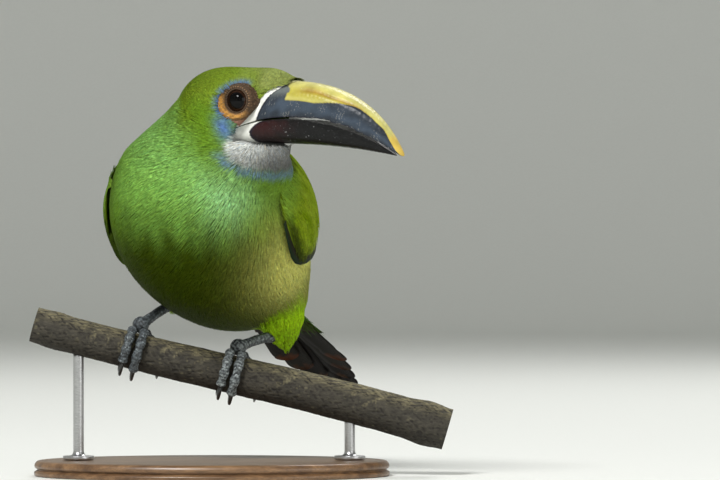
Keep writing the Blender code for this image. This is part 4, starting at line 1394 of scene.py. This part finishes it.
def makeEyeball(name, side):
    axis = unit(side * head.left + math.tan(math.radians(eye["tilt"])) * head.forward)
    place = eyeLeft if side > 0 else eyeRight
    grid, theta = ballGrid(place, axis, eye["rings"], eye["sides"], bulging)
    turn = roundAngles(eye["sides"])
    fibres = 1 + 0.35 * np.sin(23 * turn + 1.5 * np.sin(5 * turn)) * np.sin(9 * turn)
    brown = np.array(eye["brown"]) * np.broadcast_to(fibres, grid.shape[:2])[..., None]
    colour = mix(eye["black"], brown, ramp(theta, eye["pupil"] - 0.03, eye["pupil"] + 0.03))
    colour = mix(colour, eye["rim"], ramp(theta, eye["iris"] - 0.12, eye["iris"]))
    makeTube(name, grid, eyeball, colour)


makeEyeball("eye_left", 1)
makeEyeball("eye_right", -1)
print("eyes made")


# Feathers with a shaft: a closed vane, arched across, with a ridge for the shaft and notched edges.
vanes = {
    "across": (-1.0, -0.6, -0.26, -0.07, 0.0, 0.07, 0.26, 0.6, 1.0),
    "rings": 16,
    "tipRings": 8,
    "thickness": 0.14,
    "shaft": 0.16,
    "arch": 0.45,
    "notch": 0.16,
    "apart": 70.0,  # between feathers on the vane map, so that their barbs differ
}


def makeVane(place, halfWidth, tipShare, paint, seed, outerWeb=0.5, length=60.0):
    # place(share, offset, height) bends the flat vane; the width opens from the root, stays even and
    # rounds off at the tip as a quarter ellipse; paint(share, across) gives its colours
    straight = np.linspace(0, tipShare, vanes["rings"])
    rounded = tipShare + (1 - tipShare) * np.sin(np.linspace(0, math.pi / 2, vanes["tipRings"] + 1))[1:]
    share, across = np.meshgrid(np.concatenate([straight, rounded]), vanes["across"], indexing="ij")
    narrow = np.sqrt(1 - np.clip((share - tipShare) / (1 - tipShare), 0, 0.9985) ** 2)
    wide = halfWidth * (0.3 + 0.7 * ramp(share, 0, 0.3)) * narrow
    web = np.where(across < 0, 2 * outerWeb, 2 - 2 * outerWeb)
    phases = np.random.default_rng(seed).uniform(0, 1, 2)
    cut = np.where(across < 0, share * 3.1 + phases[0], share * 2.3 + phases[1]) % 1
    notched = 1 - vanes["notch"] * bell(cut, 0.5, 0.035) * np.abs(across) ** 3 * ramp(share, 0.2, 0.4)
    offset = wide * across * web * notched
    arch = vanes["arch"] * (1 - across**2) * np.minimum(wide / 4, 1)
    ridge = vanes["shaft"] * bell(across, 0, 0.08) * (1 - 0.7 * share)
    thick = vanes["thickness"] * (1 - 0.5 * np.abs(across)) * narrow
    top, under = place(share, offset, arch + ridge + thick), place(share, offset * 0.995, arch)
    colour = paint(share, across)
    flat = np.stack([offset, share * length + vanes["apart"] * seed], -1)
    sides = (top, under), (colour, 0.7 * colour), (flat, flat)
    grid, colour, vane = (np.concatenate([upper, lower[:, ::-1]], axis=1) for upper, lower in sides)
    return closedTube(grid), withEnds(colour), withEnds(vane)


def joinVanes(made):
    # joins the vanes; on the bake map each one has a cell of its own in a square of cells
    parts, tints, flats = zip(*made)
    side = math.ceil(math.sqrt(len(made)))
    maps = []
    for number, flat in enumerate(flats):
        low, high = flat.min(0), flat.max(0)
        corner = np.array([number % side, number // side])
        maps.append((corner + 0.06 + 0.88 * (flat - low) / (high - low)) / side * 0.96 + 0.02)
    return joined(parts), np.vstack(tints), np.vstack(maps), np.vstack(flats)


# The wings, in two numbers on the wing bed: share from bend to tip, and angle round from the back.
tableShares = np.linspace(-0.05, 1.05, 90)
tableAngles = np.radians(np.linspace(0, 130, 90))


def wingStart(share):
    return trunk.at(between(*wing["ends"], share), 0, wing["axisUp"])


def wingSpokes(side, angle):
    return circle(angle, trunk.up, side * trunk.left)


shares, angles = np.meshgrid(tableShares, tableAngles, indexing="ij")
wingTables = {}
for side in (1, -1):
    spokes = wingSpokes(side, angles)
    wingTables[side] = outwardTo(wingStart(shares), spokes, wingBedDistance, wing["clear"])
wingLength = wing["ends"][0] - wing["ends"][1]


def wingReach(side, share, angle):  # the bed's distance from the trunk's middle line
    last = len(tableShares) - 1.001
    row = np.clip((share - tableShares[0]) / (tableShares[1] - tableShares[0]), 0, last)
    return gridAt(wingTables[side], row, np.clip(angle / tableAngles[1], 0, last))


def onWing(side, share, angle, height):
    reach = wingReach(side, share, angle) + height
    return wingStart(share) + reach[..., None] * wingSpokes(side, angle)


def wingTop(share, angle, side=1):  # how high the wing's muscles and feathers stand over the bed
    upper, lower = wingEdges(np.clip(share, 0, 1))
    across = np.clip((angle - (upper + lower) / 2) / ((lower - upper) / 2), -1, 1)
    arm = 0.9 + wing["arm"][side] * bell(share, 0.24, 0.28)
    return 0.6 + np.clip(share / 0.08, 0, 1) * arm * (1 - across**2) ** 0.6


def wingDistance(side):  # past its edges it slopes down to meet the flank and the back
    def distance(points):
        share, angle, reach = wingPlace(points, side)
        above = wingEdges(np.clip(share, 0, 1))[0] - angle
        below = wing["dropBelow"][side] * np.maximum(angle - lowerLine(share), 0)
        drop = below + wing["dropAbove"] * np.maximum(above, 0)
        return reach - wingReach(side, share, angle) - wingTop(share, angle, side) + drop
    return distance


def lowerLine(share):  # the hanging lower edge of the folded wing, a little past the muscles' edge
    return wingEdges(share)[1] + math.radians(4) * falling(share, 0.35, 0.7)


def slidingVane(side, root, tip, halfWidth, lift, paint, seed, tipShare=0.86, bend=1.0, outerWeb=0.5):
    # a vane from root to tip (share, angle); lift is its height over the bed at both ends
    def place(share, offset, height):
        along, angle = between(root[0], tip[0], share), between(root[1], tip[1], share**bend)
        rise = between(*lift, share)
        return onWing(side, along, angle - offset / (wingReach(side, along, angle) + 3), rise + height)
    return makeVane(place, halfWidth, tipShare, paint, seed, outerWeb, wingLength * abs(tip[0] - root[0]))


def edgeVane(side, order, tipAt, halfWidth, lift, paint, seed):
    # a primary: it follows the wing's lower edge, drawn in by its order
    begin = 0.10 if side > 0 else 0.34

    def place(share, offset, height):
        along = between(begin, tipAt, share)
        inset = halfWidth * 0.75 + order * (0.5 + share)
        angle = lowerLine(along)
        rise = between(*lift, share)
        angle = angle - (inset + offset) / (wingReach(side, along, angle) + 2)
        return onWing(side, along, angle, rise + height)
    return makeVane(place, halfWidth, 0.9, paint, seed, 0.36, wingLength * (tipAt - begin))


def primaryPaint(share, across):  # dark, with a green outer web that fades towards the tip
    outer = ramp(-across, -0.1, 0.25) * falling(share, 0.6, 0.95)
    return layered(wing, wing["dark"], [("bluish", outer), ("shaft", 0.7 * bell(across, 0, 0.09))])


def greenPaint(name, dark=0.0, rimShare=0.3):
    def paint(share, across):  # green, dusky towards the inner web's root, with a pale rim
        rim = ramp(np.abs(across), 0.62, 1.0) + ramp(share, 0.93, 1.0)
        return layered(wing, wing[name], [
            ("dark", dark * ramp(across, 0.1, 0.9)),
            ("covertEdge", rimShare * np.clip(rim, 0, 1)),
            ("shaft", 0.5 * bell(across, 0, 0.09)),
        ])
    return paint


def wingPad(side):
    # the solid arm under the feathers, closed all round, thinning out towards the tip
    across, shares = np.meshgrid(np.sin(np.linspace(-1, 1, 40) * math.pi / 2), np.linspace(0.0, 0.72, 60))
    upper, lower = wingEdges(shares)
    angle = (upper + lower) / 2 + 0.96 * across * (lower - upper) / 2
    height = (wingTop(shares, angle, side) - 0.9) * falling(shares, 0.35, 0.68)
    top, under = onWing(side, shares, angle, np.maximum(height, 0.12)), onWing(side, shares, angle, 0.0)
    grid = np.concatenate([top, under[:, ::-1]], axis=1)
    tint = np.broadcast_to(0.5 * np.array(wing["coverts"]), grid.shape)
    flat = np.concatenate([np.stack([across * 20, wingLength * shares], -1)] * 2, axis=1)
    return closedTube(grid), withEnds(tint), withEnds(flat)


def makeWing(name, side):
    degrees = math.radians(1)
    made = [wingPad(side)]
    for order, tipAt in enumerate(wing["primaryTips"]):
        lift = (0.15 + 0.07 * order, 0.1 + 0.11 * order)
        made.append(edgeVane(side, order, tipAt, 4.4, lift, primaryPaint, 40 + order))
    paint = greenPaint("green", 0.7)
    for order in range(9):  # secondaries
        root = (0.20 + 0.018 * order, (80 - 4.6 * order) * degrees)
        tip = (0.68 + 0.021 * order, (69 - 4.7 * order) * degrees)
        lift = (1.2 + 0.08 * order, 1.25 + 0.09 * order)
        made.append(slidingVane(side, root, tip, 5.0, lift, paint, 60 + order, 0.88, 1.4, 0.42))
    paint = greenPaint("tertial", 0.35)
    for order in range(3):
        root = (0.26, (46 - 5 * order) * degrees)
        tip = (0.80 - 0.075 * order, (31 - 2.0 * order) * degrees)
        lift = (2.0 + 0.3 * order, 2.0 + 0.28 * order)
        made.append(slidingVane(side, root, tip, 6.8 - 0.5 * order, lift, paint, 80 + order, 0.82))
    paint = greenPaint("coverts", 0.5, 0.35)
    for order in range(11):  # greater coverts
        root = (0.17, (97 - 6.0 * order) * degrees)
        tip = (0.42 + 0.006 * order, (92 - 5.9 * order) * degrees)
        lift = (0.9 + 0.35 * min(order, 4), 1.15 + 0.2 * min(order, 5) + 0.02 * order)
        made.append(slidingVane(side, root, tip, 3.9, lift, paint, 90 + order))
    part, tint, uv, vane = joinVanes(made)
    makePiece(name, part, [flightFeathers], [name], tint, uv, vane)
    print(name, len(made) - 1, "long feathers")


def paintLesser(side):
    def paint(points):
        # olive coverts with soft streaks, shading into the breast's green at the wing's bend
        share, angle, _ = wingPlace(points)
        inner = ramp(angle - lowerLine(share) + 0.03 * wobble(points, 4, 33), -0.24, -0.11)
        tips = bell(share + 0.015 * wobble(points, 2.5, 34), 0.40, 0.05) * ramp(angle, 0.9, 1.2)
        colour = layered(wing, wing["coverts"], [
            ("covertEdge", 0.5 + 0.5 * wobble(points, 7, 31)),
            ("back", falling(angle, 0.5, 1.0)),
        ])
        # along the lower edge: partly the flight feathers' dark edges, partly painted shade where the wing
        # meets the breast
        dusky = 0.9 * inner * ramp(share, 0.05, 0.12)
        if side < 0:
            colour = mix(colour, mix(markingsAndPaintedLight["side"], markingsAndPaintedLight["belly"], 0.4), inner)
            # on the right wing the dusky band near the bend is painted shade between wing and breast
            dusky = 0.85 * ramp(angle, 0.8, 1.05) * falling(share + 0.03 * wobble(points, 3, 36), 0.20, 0.36)
        return layered(wing, colour, [
            ("dusky", dusky),
            ("covertEdge", 0.7 * tips),
            ("bend", falling(share, 0.03, 0.15) * ramp(angle, 0.5, 0.9)),
        ])
    return paint


def lesserLength(share):
    return 5.5 + 6 * ramp(share, 0.0, 0.3)


def makeLesser(name, side, seed):
    # short soft feathers over the arm, longer towards the greater coverts, and the scapulars above
    shares, across = np.meshgrid(np.linspace(-0.045, 0.56, 74), np.linspace(0, 1, 61), indexing="ij")
    upper, lower = wingEdges(np.maximum(shares, 0.02))
    low = upper - math.radians(11) * ramp(shares, 0.05, 0.15)
    high = lower - math.radians(3 if side > 0 else -8) * ramp(shares, 0.06, 0.14)
    angle = between(low, high, across)
    grid = onWing(side, shares, angle, wingTop(shares, angle, side))
    covered = shares < 0.30 - 0.02 * np.sin(40 * angle)
    covered |= angle < upper + math.radians(10) * (1 - 0.5 * shares)
    if side < 0:
        covered |= angle > lower - math.radians(18) * falling(shares, 0.35, 0.55) - math.radians(3)
    areas = cellAreas(grid)[:, :-1] * covered[:-1, :-1]
    row, column = spreadFans(areas, lesserLength(shares[:-1, :-1]), 0.30)
    index = np.minimum(row.astype(int), len(grid) - 2)
    step = np.minimum(column.astype(int), grid.shape[1] - 2)
    share = shares[index, 0] + (row - index) * (shares[1, 0] - shares[0, 0])
    turn = angle[index, step] + (column - step) * (angle[index, 1] - angle[index, 0])
    outline = wingDistance(side)
    roots, normals = settle(onWing(side, share, turn, wingTop(share, turn, side)), 0.0, outline, 1)
    keep = fromThroat(roots) > 1.25
    roots, normals, share, turn = roots[keep], normals[keep], share[keep], turn[keep]
    ahead, beyond = share + 0.03, turn + 0.030 * falling(share, 0.2, 0.5)
    lay = onWing(side, ahead, beyond, wingTop(ahead, turn, side)) - roots
    fans = roots, normals, bakePlaces(row[keep], column[keep], grid)
    growCoat(name, fans, lay, lesserLength(share), 0.9, outline, seed, spread=0.8, paint=paintLesser(side))


makeWing("wing_left", 1)
makeWing("wing_right", -1)
makeLesser("coatWingLeft", 1, 31)
makeLesser("coatWingRight", -1, 32)
print("wings made")


# The tail: ten graduated feathers, the middle pair on top, over a padded root with its coverts.
tail = {
    "lengths": (1.0, 0.93, 0.83, 0.72, 0.60),
    "rootSide": (1.0, 1.2),
    "tipSide": (1.6, 2.9),
    "halfWidth": 6.6,
    "upper": (0.030, 0.085, 0.040),
    "coverts": (0.06, 0.13, 0.02),
    "under": (0.005, 0.003, 0.002),
    "grey": (0.010, 0.008, 0.005),
    "chestnut": (0.13, 0.035, 0.007),
    "shaft": (0.035, 0.02, 0.012),
}


def tailPlace(along, lateral, up):  # lateral is to the right; the tail's two halves droop a little
    return tailAxes.at(along, -lateral, up - 0.006 * lateral**2)


def tailVane(pair, side):
    lengthShare = tail["lengths"][pair]
    near, far = (side * (tail[end][0] + tail[end][1] * pair) for end in ("rootSide", "tipSide"))
    lift = 0.9 - 0.42 * pair + (0.12 if side > 0 else 0.0)
    chestnut = 0.9 if pair > 3 else 0.45

    def place(share, offset, height):
        along = between(0.03, lengthShare, share) * tailLength
        return tailPlace(along, between(near, far, share) + offset, lift + height * 0.8)

    def paint(share, across):
        # blue-green on the outer web, dusky inside, chestnut at the tip of the outer pairs
        reach = 0.93 - 0.01 * pair
        return layered(tail, tail["under"], [
            ("upper", 0.8 * ramp(side * across, -0.2, 0.3) + 0.2),
            ("grey", 0.8 * (pair > 2)),
            ("chestnut", chestnut * ramp(share + 0.02 * np.sin(9 * across), reach, reach + 0.05)),
            ("shaft", 0.6 * bell(across, 0, 0.09)),
        ])
    return makeVane(place, tail["halfWidth"], 0.88, paint, 10 * pair + (side > 0), 0.5, tailLength)


def darkUnderside(made, tone):  # repaints the faces that look down with dusky brown
    part, tint, vane = made
    half = len(vanes["across"])
    grid = tint[:-2].reshape(-1, 2 * half, 3)
    warm = grid[:, half:, 0] > 2.2 * grid[:, half:, 1]
    grid[:, half:] = np.where(warm[..., None], grid[:, half:] * 0.8, tone)
    return part, np.vstack([grid.reshape(-1, 3), tint[-2:]]), vane


def tailTube(shrink, shares, sides):
    inside = np.maximum(shares, 0)[:, None]  # before the root the section stays as it is there
    angles = roundAngles(sides)
    thick = np.maximum(tailHalfThickness(inside) - shrink, 0.3)
    lateral = (tailHalfWidth(inside) - shrink) * np.cos(angles)
    return tailPlace(shares[:, None] * tailLength, lateral, thick * np.sin(angles))


def makeTail():
    made = []
    for pair in (4, 3, 2, 1, 0):
        for side in (-1, 1):
            made.append(darkUnderside(tailVane(pair, side), tail["grey"] if pair > 2 else tail["under"]))
    shares, sides = np.linspace(-0.02, 0.30, 36), 44
    pad = closedTube(tailTube(1.0, shares, sides))
    flat = np.stack(np.broadcast_arrays(np.arange(sides), shares[:, None] * tailLength), -1)
    made.append((pad, 0.5 * markingAndPaintedLight(pad[0]), withEnds(flat)))
    part, tint, uv, vane = joinVanes(made)
    makePiece("tail", part, [flightFeathers], ["tail"], tint, uv, vane)

    shares = np.linspace(-0.03, 0.22, 50)
    grid = tailTube(0.0, shares, 64)
    thinning = 1 - 0.85 * ramp(shares[:-1], 0.08, 0.21)[:, None]
    row, column = spreadFans(cellAreas(grid) * thinning, 13, 0.30)
    roots, normals = settle(gridAt(grid, row, column), 0.0, tailOutline, 1)
    lengths = (9 + 4 * row / len(grid)) * (1 + 0.3 * np.sin(40 * row + 9 * column))
    fans = roots, normals, bakePlaces(row, column, grid)
    growCoat("coatTail", fans, tailAxis, lengths, 0.9, tailOutline, 41, spread=0.7, paint=paintTailCoverts)


def paintTailCoverts(points):  # the body's markings, turning to the tail's blue-green on the upper side
    along, _, up = tailAxes.split(points)
    return mix(markingAndPaintedLight(points), tail["coverts"], ramp(along, -4, 10) * ramp(up, -4.5, -1.5))


def tailOutline(points):  # the tail's own outline, joined to the body's
    along, side, up = tailAxes.split(points)
    return merge(tailSection(along / tailLength, side, up + 0.006 * side**2), bodyDistance(points), 4)


makeTail()
print("tail made")


# Legs and feet. Heights are above the perch's middle line, and angles go round it from its top.
perch = {
    "ends": (-80.0, 106.0),
    "slope": -0.268,
    "radii": (7.9, 9.3),
    "sides": 170,
    "rings": 440,
    "bark": (0.040, 0.035, 0.025),
    # dark bark, for the pits and cracks and for painted shade underneath
    "barkDarkAndShade": (0.016, 0.013, 0.009),
    # pale bark, for painted light on the upper side and for lichen
    "barkLitTopAndLichen": (0.30, 0.26, 0.135),
    "rind": (0.10, 0.07, 0.04),
    "wood": (0.46, 0.33, 0.18),
    "heart": (0.28, 0.17, 0.08),
}
feet = {
    "places": {"right": -35.0, "left": 9.0},
    "ankles": {"right": (-15.0, 19.0, 30.5), "left": (29.0, 19.0, 14.5)},
    "toes": {"2": (32, 118, -2.9, -3.7), "3": (30, 136, 2.4, 1.6), "1": (-34, -104, -2.9, -4.6),
             "4": (-34, -96, 3.0, 12.0)},
    "padRadius": 3.7,
    "toeRadius": 2.2,
    "tarsusRadius": 2.1,
    "clear": 0.35,
    "dark": (0.028, 0.032, 0.036),
    # the right foot's plates are a darker copy of the left's: painted shade
    "plate": {"right": (0.11, 0.13, 0.14), "left": (0.25, 0.28, 0.28)},
    # pale flecks on the raised scales: painted highlights
    "paleGlint": (0.50, 0.56, 0.58),
    "claw": (0.012, 0.011, 0.010),
    "clawTip": (0.05, 0.045, 0.04),
}


def perchCentre(x):
    x = np.asarray(x, float)
    height = perchHeight + perch["slope"] * x + 1.6 * np.sin((x - 10) / 42)
    return np.stack([x, 1.2 * np.sin(x / 55 + 0.8), height], -1)


def perchRadius(x):
    share = (x - perch["ends"][0]) / (perch["ends"][1] - perch["ends"][0])
    return between(*perch["radii"], share) + 0.9 * bell(x, 96, 6) + 0.5 * bell(x, -70, 5)


def perchAxes(x):
    axis = unit(perchCentre(x + 1) - perchCentre(x - 1))
    side = unit(np.cross(axis, [0, 0, 1]))
    return axis, side, np.cross(side, axis)


def roundPerch(x, angle, clear, along=0.0):
    # a place round the branch: angle from its top towards the front, clear of its bark
    x = np.broadcast_to(x + along, np.shape(angle))
    _, side, top = perchAxes(x)
    reach = (perchRadius(x) + feet["clear"] + clear)[..., None]
    return perchCentre(x) + reach * circle(angle, top, side)


def makeScaly(node, path, radii, sides, up, bands, pale, backOf):
    # a tube with broad cross plates on its back, |sin|^0.4 along it, and small knobs elsewhere
    share = np.linspace(0, 1, len(path))[:, None]
    plain = tubeRings(path, radii, sides, up)
    spokes = unit(plain - path[:, None])
    topness = ramp(dot(spokes, backOf), -0.25, 0.45)
    sway = 0.30 * wobble(plain, 3.4, 51) + 0.18 * wobble(plain, 1.4, 57)
    plate = np.abs(np.sin(math.pi * (bands * share + sway))) ** 0.4
    knobs = ramp(wobble(plain, 1.25, 52), -0.35, 0.25)
    relief = topness * (0.22 * plate - 0.12) + (1 - topness) * (0.22 * knobs - 0.10)
    relief = relief + 0.05 * wobble(plain, 0.9, 53)
    raised = topness * plate + (1 - topness) * knobs * 0.8
    bright = ramp(raised + 0.35 * wobble(plain, 2.0, 54), 0.45, 1.2) * (0.45 + 0.55 * topness)
    # flecks: pale spots on the raised scales, painted highlights
    flecks = ramp(wobble(plain, 0.9, 58), 0.42, 0.75) * ramp(wobble(plain, 4.5, 59), -0.1, 0.4) * raised
    tint = mix(mix(feet["dark"], pale, bright), feet["paleGlint"], 0.7 * flecks)
    makeTube(node, plain + relief[..., None] * spokes, legScales, tint)


def makePad(node, place, up, pale):  # a ball with small knobs
    grid, _ = ballGrid(place, up, 56, 64, feet["padRadius"])
    spokes = unit(grid - place)
    knobs = ramp(wobble(grid, 1.5, 55), -0.35, 0.25)
    tint = mix(feet["dark"], pale, 0.8 * knobs * ramp(dot(spokes, [0, -0.7, 0.7]), -0.4, 0.5))
    makeTube(node, grid + (0.25 * knobs - 0.15)[..., None] * spokes, legScales, tint)


def makeClaw(node, x, start, turn, drift):  # an arched, tapering cone that goes on round the branch
    share = np.linspace(0, 1, 44)
    angles = np.radians(start + turn * (11 + 50 * share))
    lifts = 1.5 + 2.8 * np.sin(share * math.pi) - 0.6 * share
    radii = 1.55 * (1 - 0.93 * share[:, None] ** 1.3) * (0.86 + 0.14 * np.cos(2 * roundAngles(22)))
    grid = tubeRings(roundPerch(x, angles, lifts, drift), radii, 22, (1, 0, 0.1))
    tip = np.broadcast_to(ramp(share, 0.6, 1)[:, None], grid.shape[:2])
    makeTube(node, grid, clawHorn, mix(feet["claw"], feet["clawTip"], tip))


def makeFoot(name):
    pale, x = np.array(feet["plate"][name]), feet["places"][name]
    pad = roundPerch(x, 0.0, feet["padRadius"])
    ankle = np.array(feet["ankles"][name]) + [0, 0, perchHeight]
    share = np.linspace(0, 1, 120)
    path = smoothPath([ankle, (ankle + pad) / 2 + [0, 0, 0.8], pad], len(share))
    thickness = 0.93 + 0.45 * (1 - share) ** 4 + 0.25 * share**4
    radii = feet["tarsusRadius"] * thickness + 0.12 * np.sin(9 * share) ** 2
    makeScaly(f"leg_{name}_tarsus", path, radii, 44, (0, 0, 1), 12, pale, np.array([-0.2, -0.9, 0.5]))
    makePad(f"foot_{name}_pad", pad, perchAxes(np.array(x))[2], pale)
    for toe, (start, end, driftStart, driftEnd) in feet["toes"].items():
        angles = np.radians(between(start, end, share))
        path = roundPerch(x, angles, feet["toeRadius"], between(driftStart, driftEnd, share))
        radii = feet["toeRadius"] * (0.88 + 0.12 * np.cos(share * 6 * math.pi))
        backOf = unit(path - perchCentre(path[:, 0]))[:, None]
        makeScaly(f"foot_{name}_toe_{toe}", path, radii, 36, (1, 0, 0.1), 13, pale, backOf)
        makeClaw(f"foot_{name}_claw_{toe}", x, end, math.copysign(1, end - start), driftEnd)


makeFoot("left")
makeFoot("right")
print("feet made")


# The branch: bark raised in long fibres and pitted, with both ends cut across to show the wood.
def makePerch():
    x = np.linspace(*perch["ends"], perch["rings"])
    _, side, top = perchAxes(x)
    angle = roundAngles(perch["sides"])
    spokes = circle(angle, top[:, None], side[:, None])
    radius = perchRadius(x)[:, None]
    plain = perchCentre(x)[:, None] + radius[..., None] * spokes
    stretched = plain * [0.3, 1, 1]
    fibres = 0.6 * wobble(stretched, 2.2, 61) + 0.4 * wobble(stretched, 1.0, 62)
    pits = ramp(wobble(plain, 1.6, 63) + 0.35 * wobble(plain, 6, 64), 0.42, 0.7)
    cracks = falling(np.abs(wobble(stretched, 3.4, 66)), 0.0, 0.045)
    relief = 0.10 * fibres + 0.10 * wobble(plain, 16, 65) - 0.32 * pits - 0.22 * cracks
    grid = perchCentre(x)[:, None] + (radius + np.minimum(relief, 0.22))[..., None] * spokes

    facing = spokes[..., 2]
    lichen = ramp(wobble(plain, 4.5, 67) + 0.5 * wobble(plain, 1.4, 69), 0.5, 1.0)
    lichen = lichen * ramp(wobble(plain, 22, 68), -0.3, 0.4) * ramp(facing, -0.5, 0.4)
    # pits and cracks darker, partly the bark's own colour and partly painted shade; the underside painted
    # darker as shade and the upper fibres painted lighter as light from above; pale lichen on top
    colour = layered(perch, perch["bark"], [
        ("barkDarkAndShade", 0.8 * pits),
        ("barkDarkAndShade", 0.6 * cracks),
        ("barkLitTopAndLichen", 0.55 * ramp(facing, 0.25, 1.0) * ramp(fibres, -0.8, 0.6) * (1 - pits)),
        ("barkDarkAndShade", 0.55 * ramp(-facing, 0.1, 0.9)),
        ("barkLitTopAndLichen", 0.3 * lichen),
    ])

    rows, tints = [grid], [colour]
    for end in (0, -1):  # rings that shrink across each cut face, with year rings as fine steps
        share = np.linspace(0.985, 0.02, 46)[:, None]
        centre = perchCentre(x[end])
        outward = perchAxes(x[end])[0] * (-1 if end == 0 else 1)
        wave = np.sin(2 * math.pi * 9 * share + 0.8 * np.sin(angle * 2 + 1))
        rough = 0.05 * wave + 0.03 * wobble(centre + 8 * share[..., None] * spokes[end], 1.2, 70)
        face = centre + share[..., None] * (grid[end] - centre) + 0.6 * rough[..., None] * outward
        tone = layered(perch, perch["wood"], [
            ("heart", 0.225 + 0.225 * wave + 0.35 * falling(share, 0, 0.3)),
            ("rind", ramp(share, 0.90, 0.93)),
        ])
        if end == 0:
            rows, tints = [face[::-1], *rows], [tone[::-1], *tints]
        else:
            rows, tints = [*rows, face], [*tints, tone]
    makeTube("perch_branch", np.concatenate(rows), bark, np.concatenate(tints))


makePerch()
print("branch made")


def sweptRound(profile, sides):  # a profile of radius and height swept once round the upright axis
    across = circle(roundAngles(sides), np.array([1, 0, 0]), np.array([0, 1, 0]))
    return profile[:, :1, None] * across + profile[:, 1:, None] * [0, 0, 1]


# The stand: an oval base with a moulded rim, and two turned rods.
stand = {
    "radii": (80.0, 54.0),
    "thick": 7.0,
    "rodPlaces": {"stand_rod_left": -60.0, "stand_rod_right": 62.0},
    "rodRadius": 2.4,
    "flange": (7.0, 2.0),
    "gap": 0.35,
}


def makeBase():
    # the rim in (inset, height): a foot, a cove, a bead and a rounded top edge; then flat to the middle
    rim = smoothPath([(3.0, 0.0), (0.6, 0.15), (0.05, 0.8), (0.1, 1.9), (1.1, 2.6), (1.5, 3.1), (0.5, 3.7),
                      (0.15, 4.6), (0.5, 5.8), (1.5, 6.75), (3.0, 7.0), (4.0, 6.98), (4.5, 6.75), (5.0, 6.98),
                      (6.0, 7.0)], 110)
    angle = roundAngles(260)
    wide, deep = stand["radii"]

    def ring(inset, scale, height):
        return np.stack([(wide * scale - inset) * np.cos(angle), (deep * scale - inset) * np.sin(angle),
                         np.full(angle.shape, height)], -1)

    underside = [ring(3.0 * scale, scale, 0.0) for scale in np.linspace(0.03, 0.97, 14)]
    edge = [ring(inset, 1.0, min(max(height, 0.0), stand["thick"])) for inset, height in rim]
    surface = [ring(6.0 * scale, scale, stand["thick"]) for scale in np.linspace(0.97, 0.03, 14)]
    makeTube("stand_base", np.array([*underside, *edge, *surface]), standWood)


def makeRod(name, x):
    centre = perchCentre(x)
    top = centre[2] - perchRadius(x) / math.cos(math.atan(perch["slope"])) + 0.5
    start = stand["thick"] + stand["gap"]
    flange, height = stand["flange"]
    radius = stand["rodRadius"]
    shoulder = stand["thick"] + height
    foot = [(flange - 0.5, start), (flange, start + 0.3)]
    foot += [(flange, shoulder - 0.4), (flange - 0.35, shoulder)]
    foot += [(radius + out, shoulder + up) for out, up in ((1.6, 0.12), (0.5, 0.6), (0.05, 1.6))]
    profile = smoothPath(foot, 60)
    shaft = [(radius, height) for height in np.linspace(shoulder + 2.0, top, 40)]
    grid = sweptRound(np.vstack([profile, shaft]), 64) + [centre[0], centre[1], 0]
    makeTube(name, grid, standSteel)


makeBase()
for name, x in stand["rodPlaces"].items():
    makeRod(name, x)
print("stand made")


# The camera, the lights and the floor.
view = {
    "place": (66.6, -2160.0, 106.05),
    "lens": 240,
    "lightsAim": (0, 0, 0.12),  # this and the lights' own values are in metres and watts
    "lights": {  # place, size and power
        "key": ((-0.7, -1.7, 1.9), 0.8, 62),
        "fill": ((1.8, -1.6, 0.7), 1.4, 10),
        "rim": ((0.6, 1.4, 1.6), 0.9, 16),
    },
    "floorColour": (0.80, 0.81, 0.77),
    "floorGrain": (0.84, 0.85, 0.81),
    "roomColour": (0.95, 0.97, 1.0),
    "roomStrength": 0.22,
}


def makeCamera():
    data = bpy.data.cameras.new("camera")
    data.lens = view["lens"]
    data.clip_start, data.clip_end = 0.05, 50
    camera = addToScene("camera", data)
    camera.location = np.array(view["place"]) * millimetre
    camera.rotation_euler = (math.pi / 2, 0, 0)
    bpy.context.scene.camera = camera


def addLight(name, place, size, power):
    data = bpy.data.lights.new(name, "AREA")
    data.shape, data.size, data.energy = "DISK", size, power
    light = addToScene(name, data)
    light.location = place
    way = np.array(place) - view["lightsAim"]
    light.rotation_euler = (math.atan2(math.hypot(way[0], way[1]), way[2]), 0, math.atan2(way[0], -way[1]))


def roundSurface(name, profile, material, sides=128):
    points = sweptRound(np.array(profile, float), sides)
    quads = ringQuads(len(profile), sides)[:, [0, 3, 2, 1]]  # turned to face the bird
    mesh = bpy.data.meshes.new(name)
    mesh.from_pydata((points.reshape(-1, 3) * millimetre).tolist(), [], quads.tolist())
    mesh.shade_smooth()
    mesh.materials.append(material)
    piece = addToScene(name, mesh)
    return piece


def makeStage():
    # a round pale floor, and a wall that curves up from its edge and lets the room's light through
    look = Look("floorPaper", Roughness=0.9)
    paper = look.finish(look.blend(look.noise(300, 2), view["floorColour"], view["floorGrain"]))
    roundSurface("floor", [(1, 0), (400, 0), (1500, 0), (3400, 0)], paper)
    turn = np.linspace(0, math.pi / 2, 20)
    bend = np.stack([3400 + 900 * np.sin(turn), 900 - 900 * np.cos(turn)], -1)
    wall = roundSurface("backdrop", np.vstack([bend, [(4300, 4200)]]), paper)
    wall.visible_shadow = False
    world = bpy.data.worlds.new("room")
    world.use_nodes = True
    background = world.node_tree.nodes["Background"]
    background.inputs["Color"].default_value = (*view["roomColour"], 1)
    background.inputs["Strength"].default_value = view["roomStrength"]
    bpy.context.scene.world = world
    bpy.context.scene.view_settings.view_transform = "Standard"


makeCamera()
makeStage()
for name, values in view["lights"].items():
    addLight(name, *values)
print("stage made")
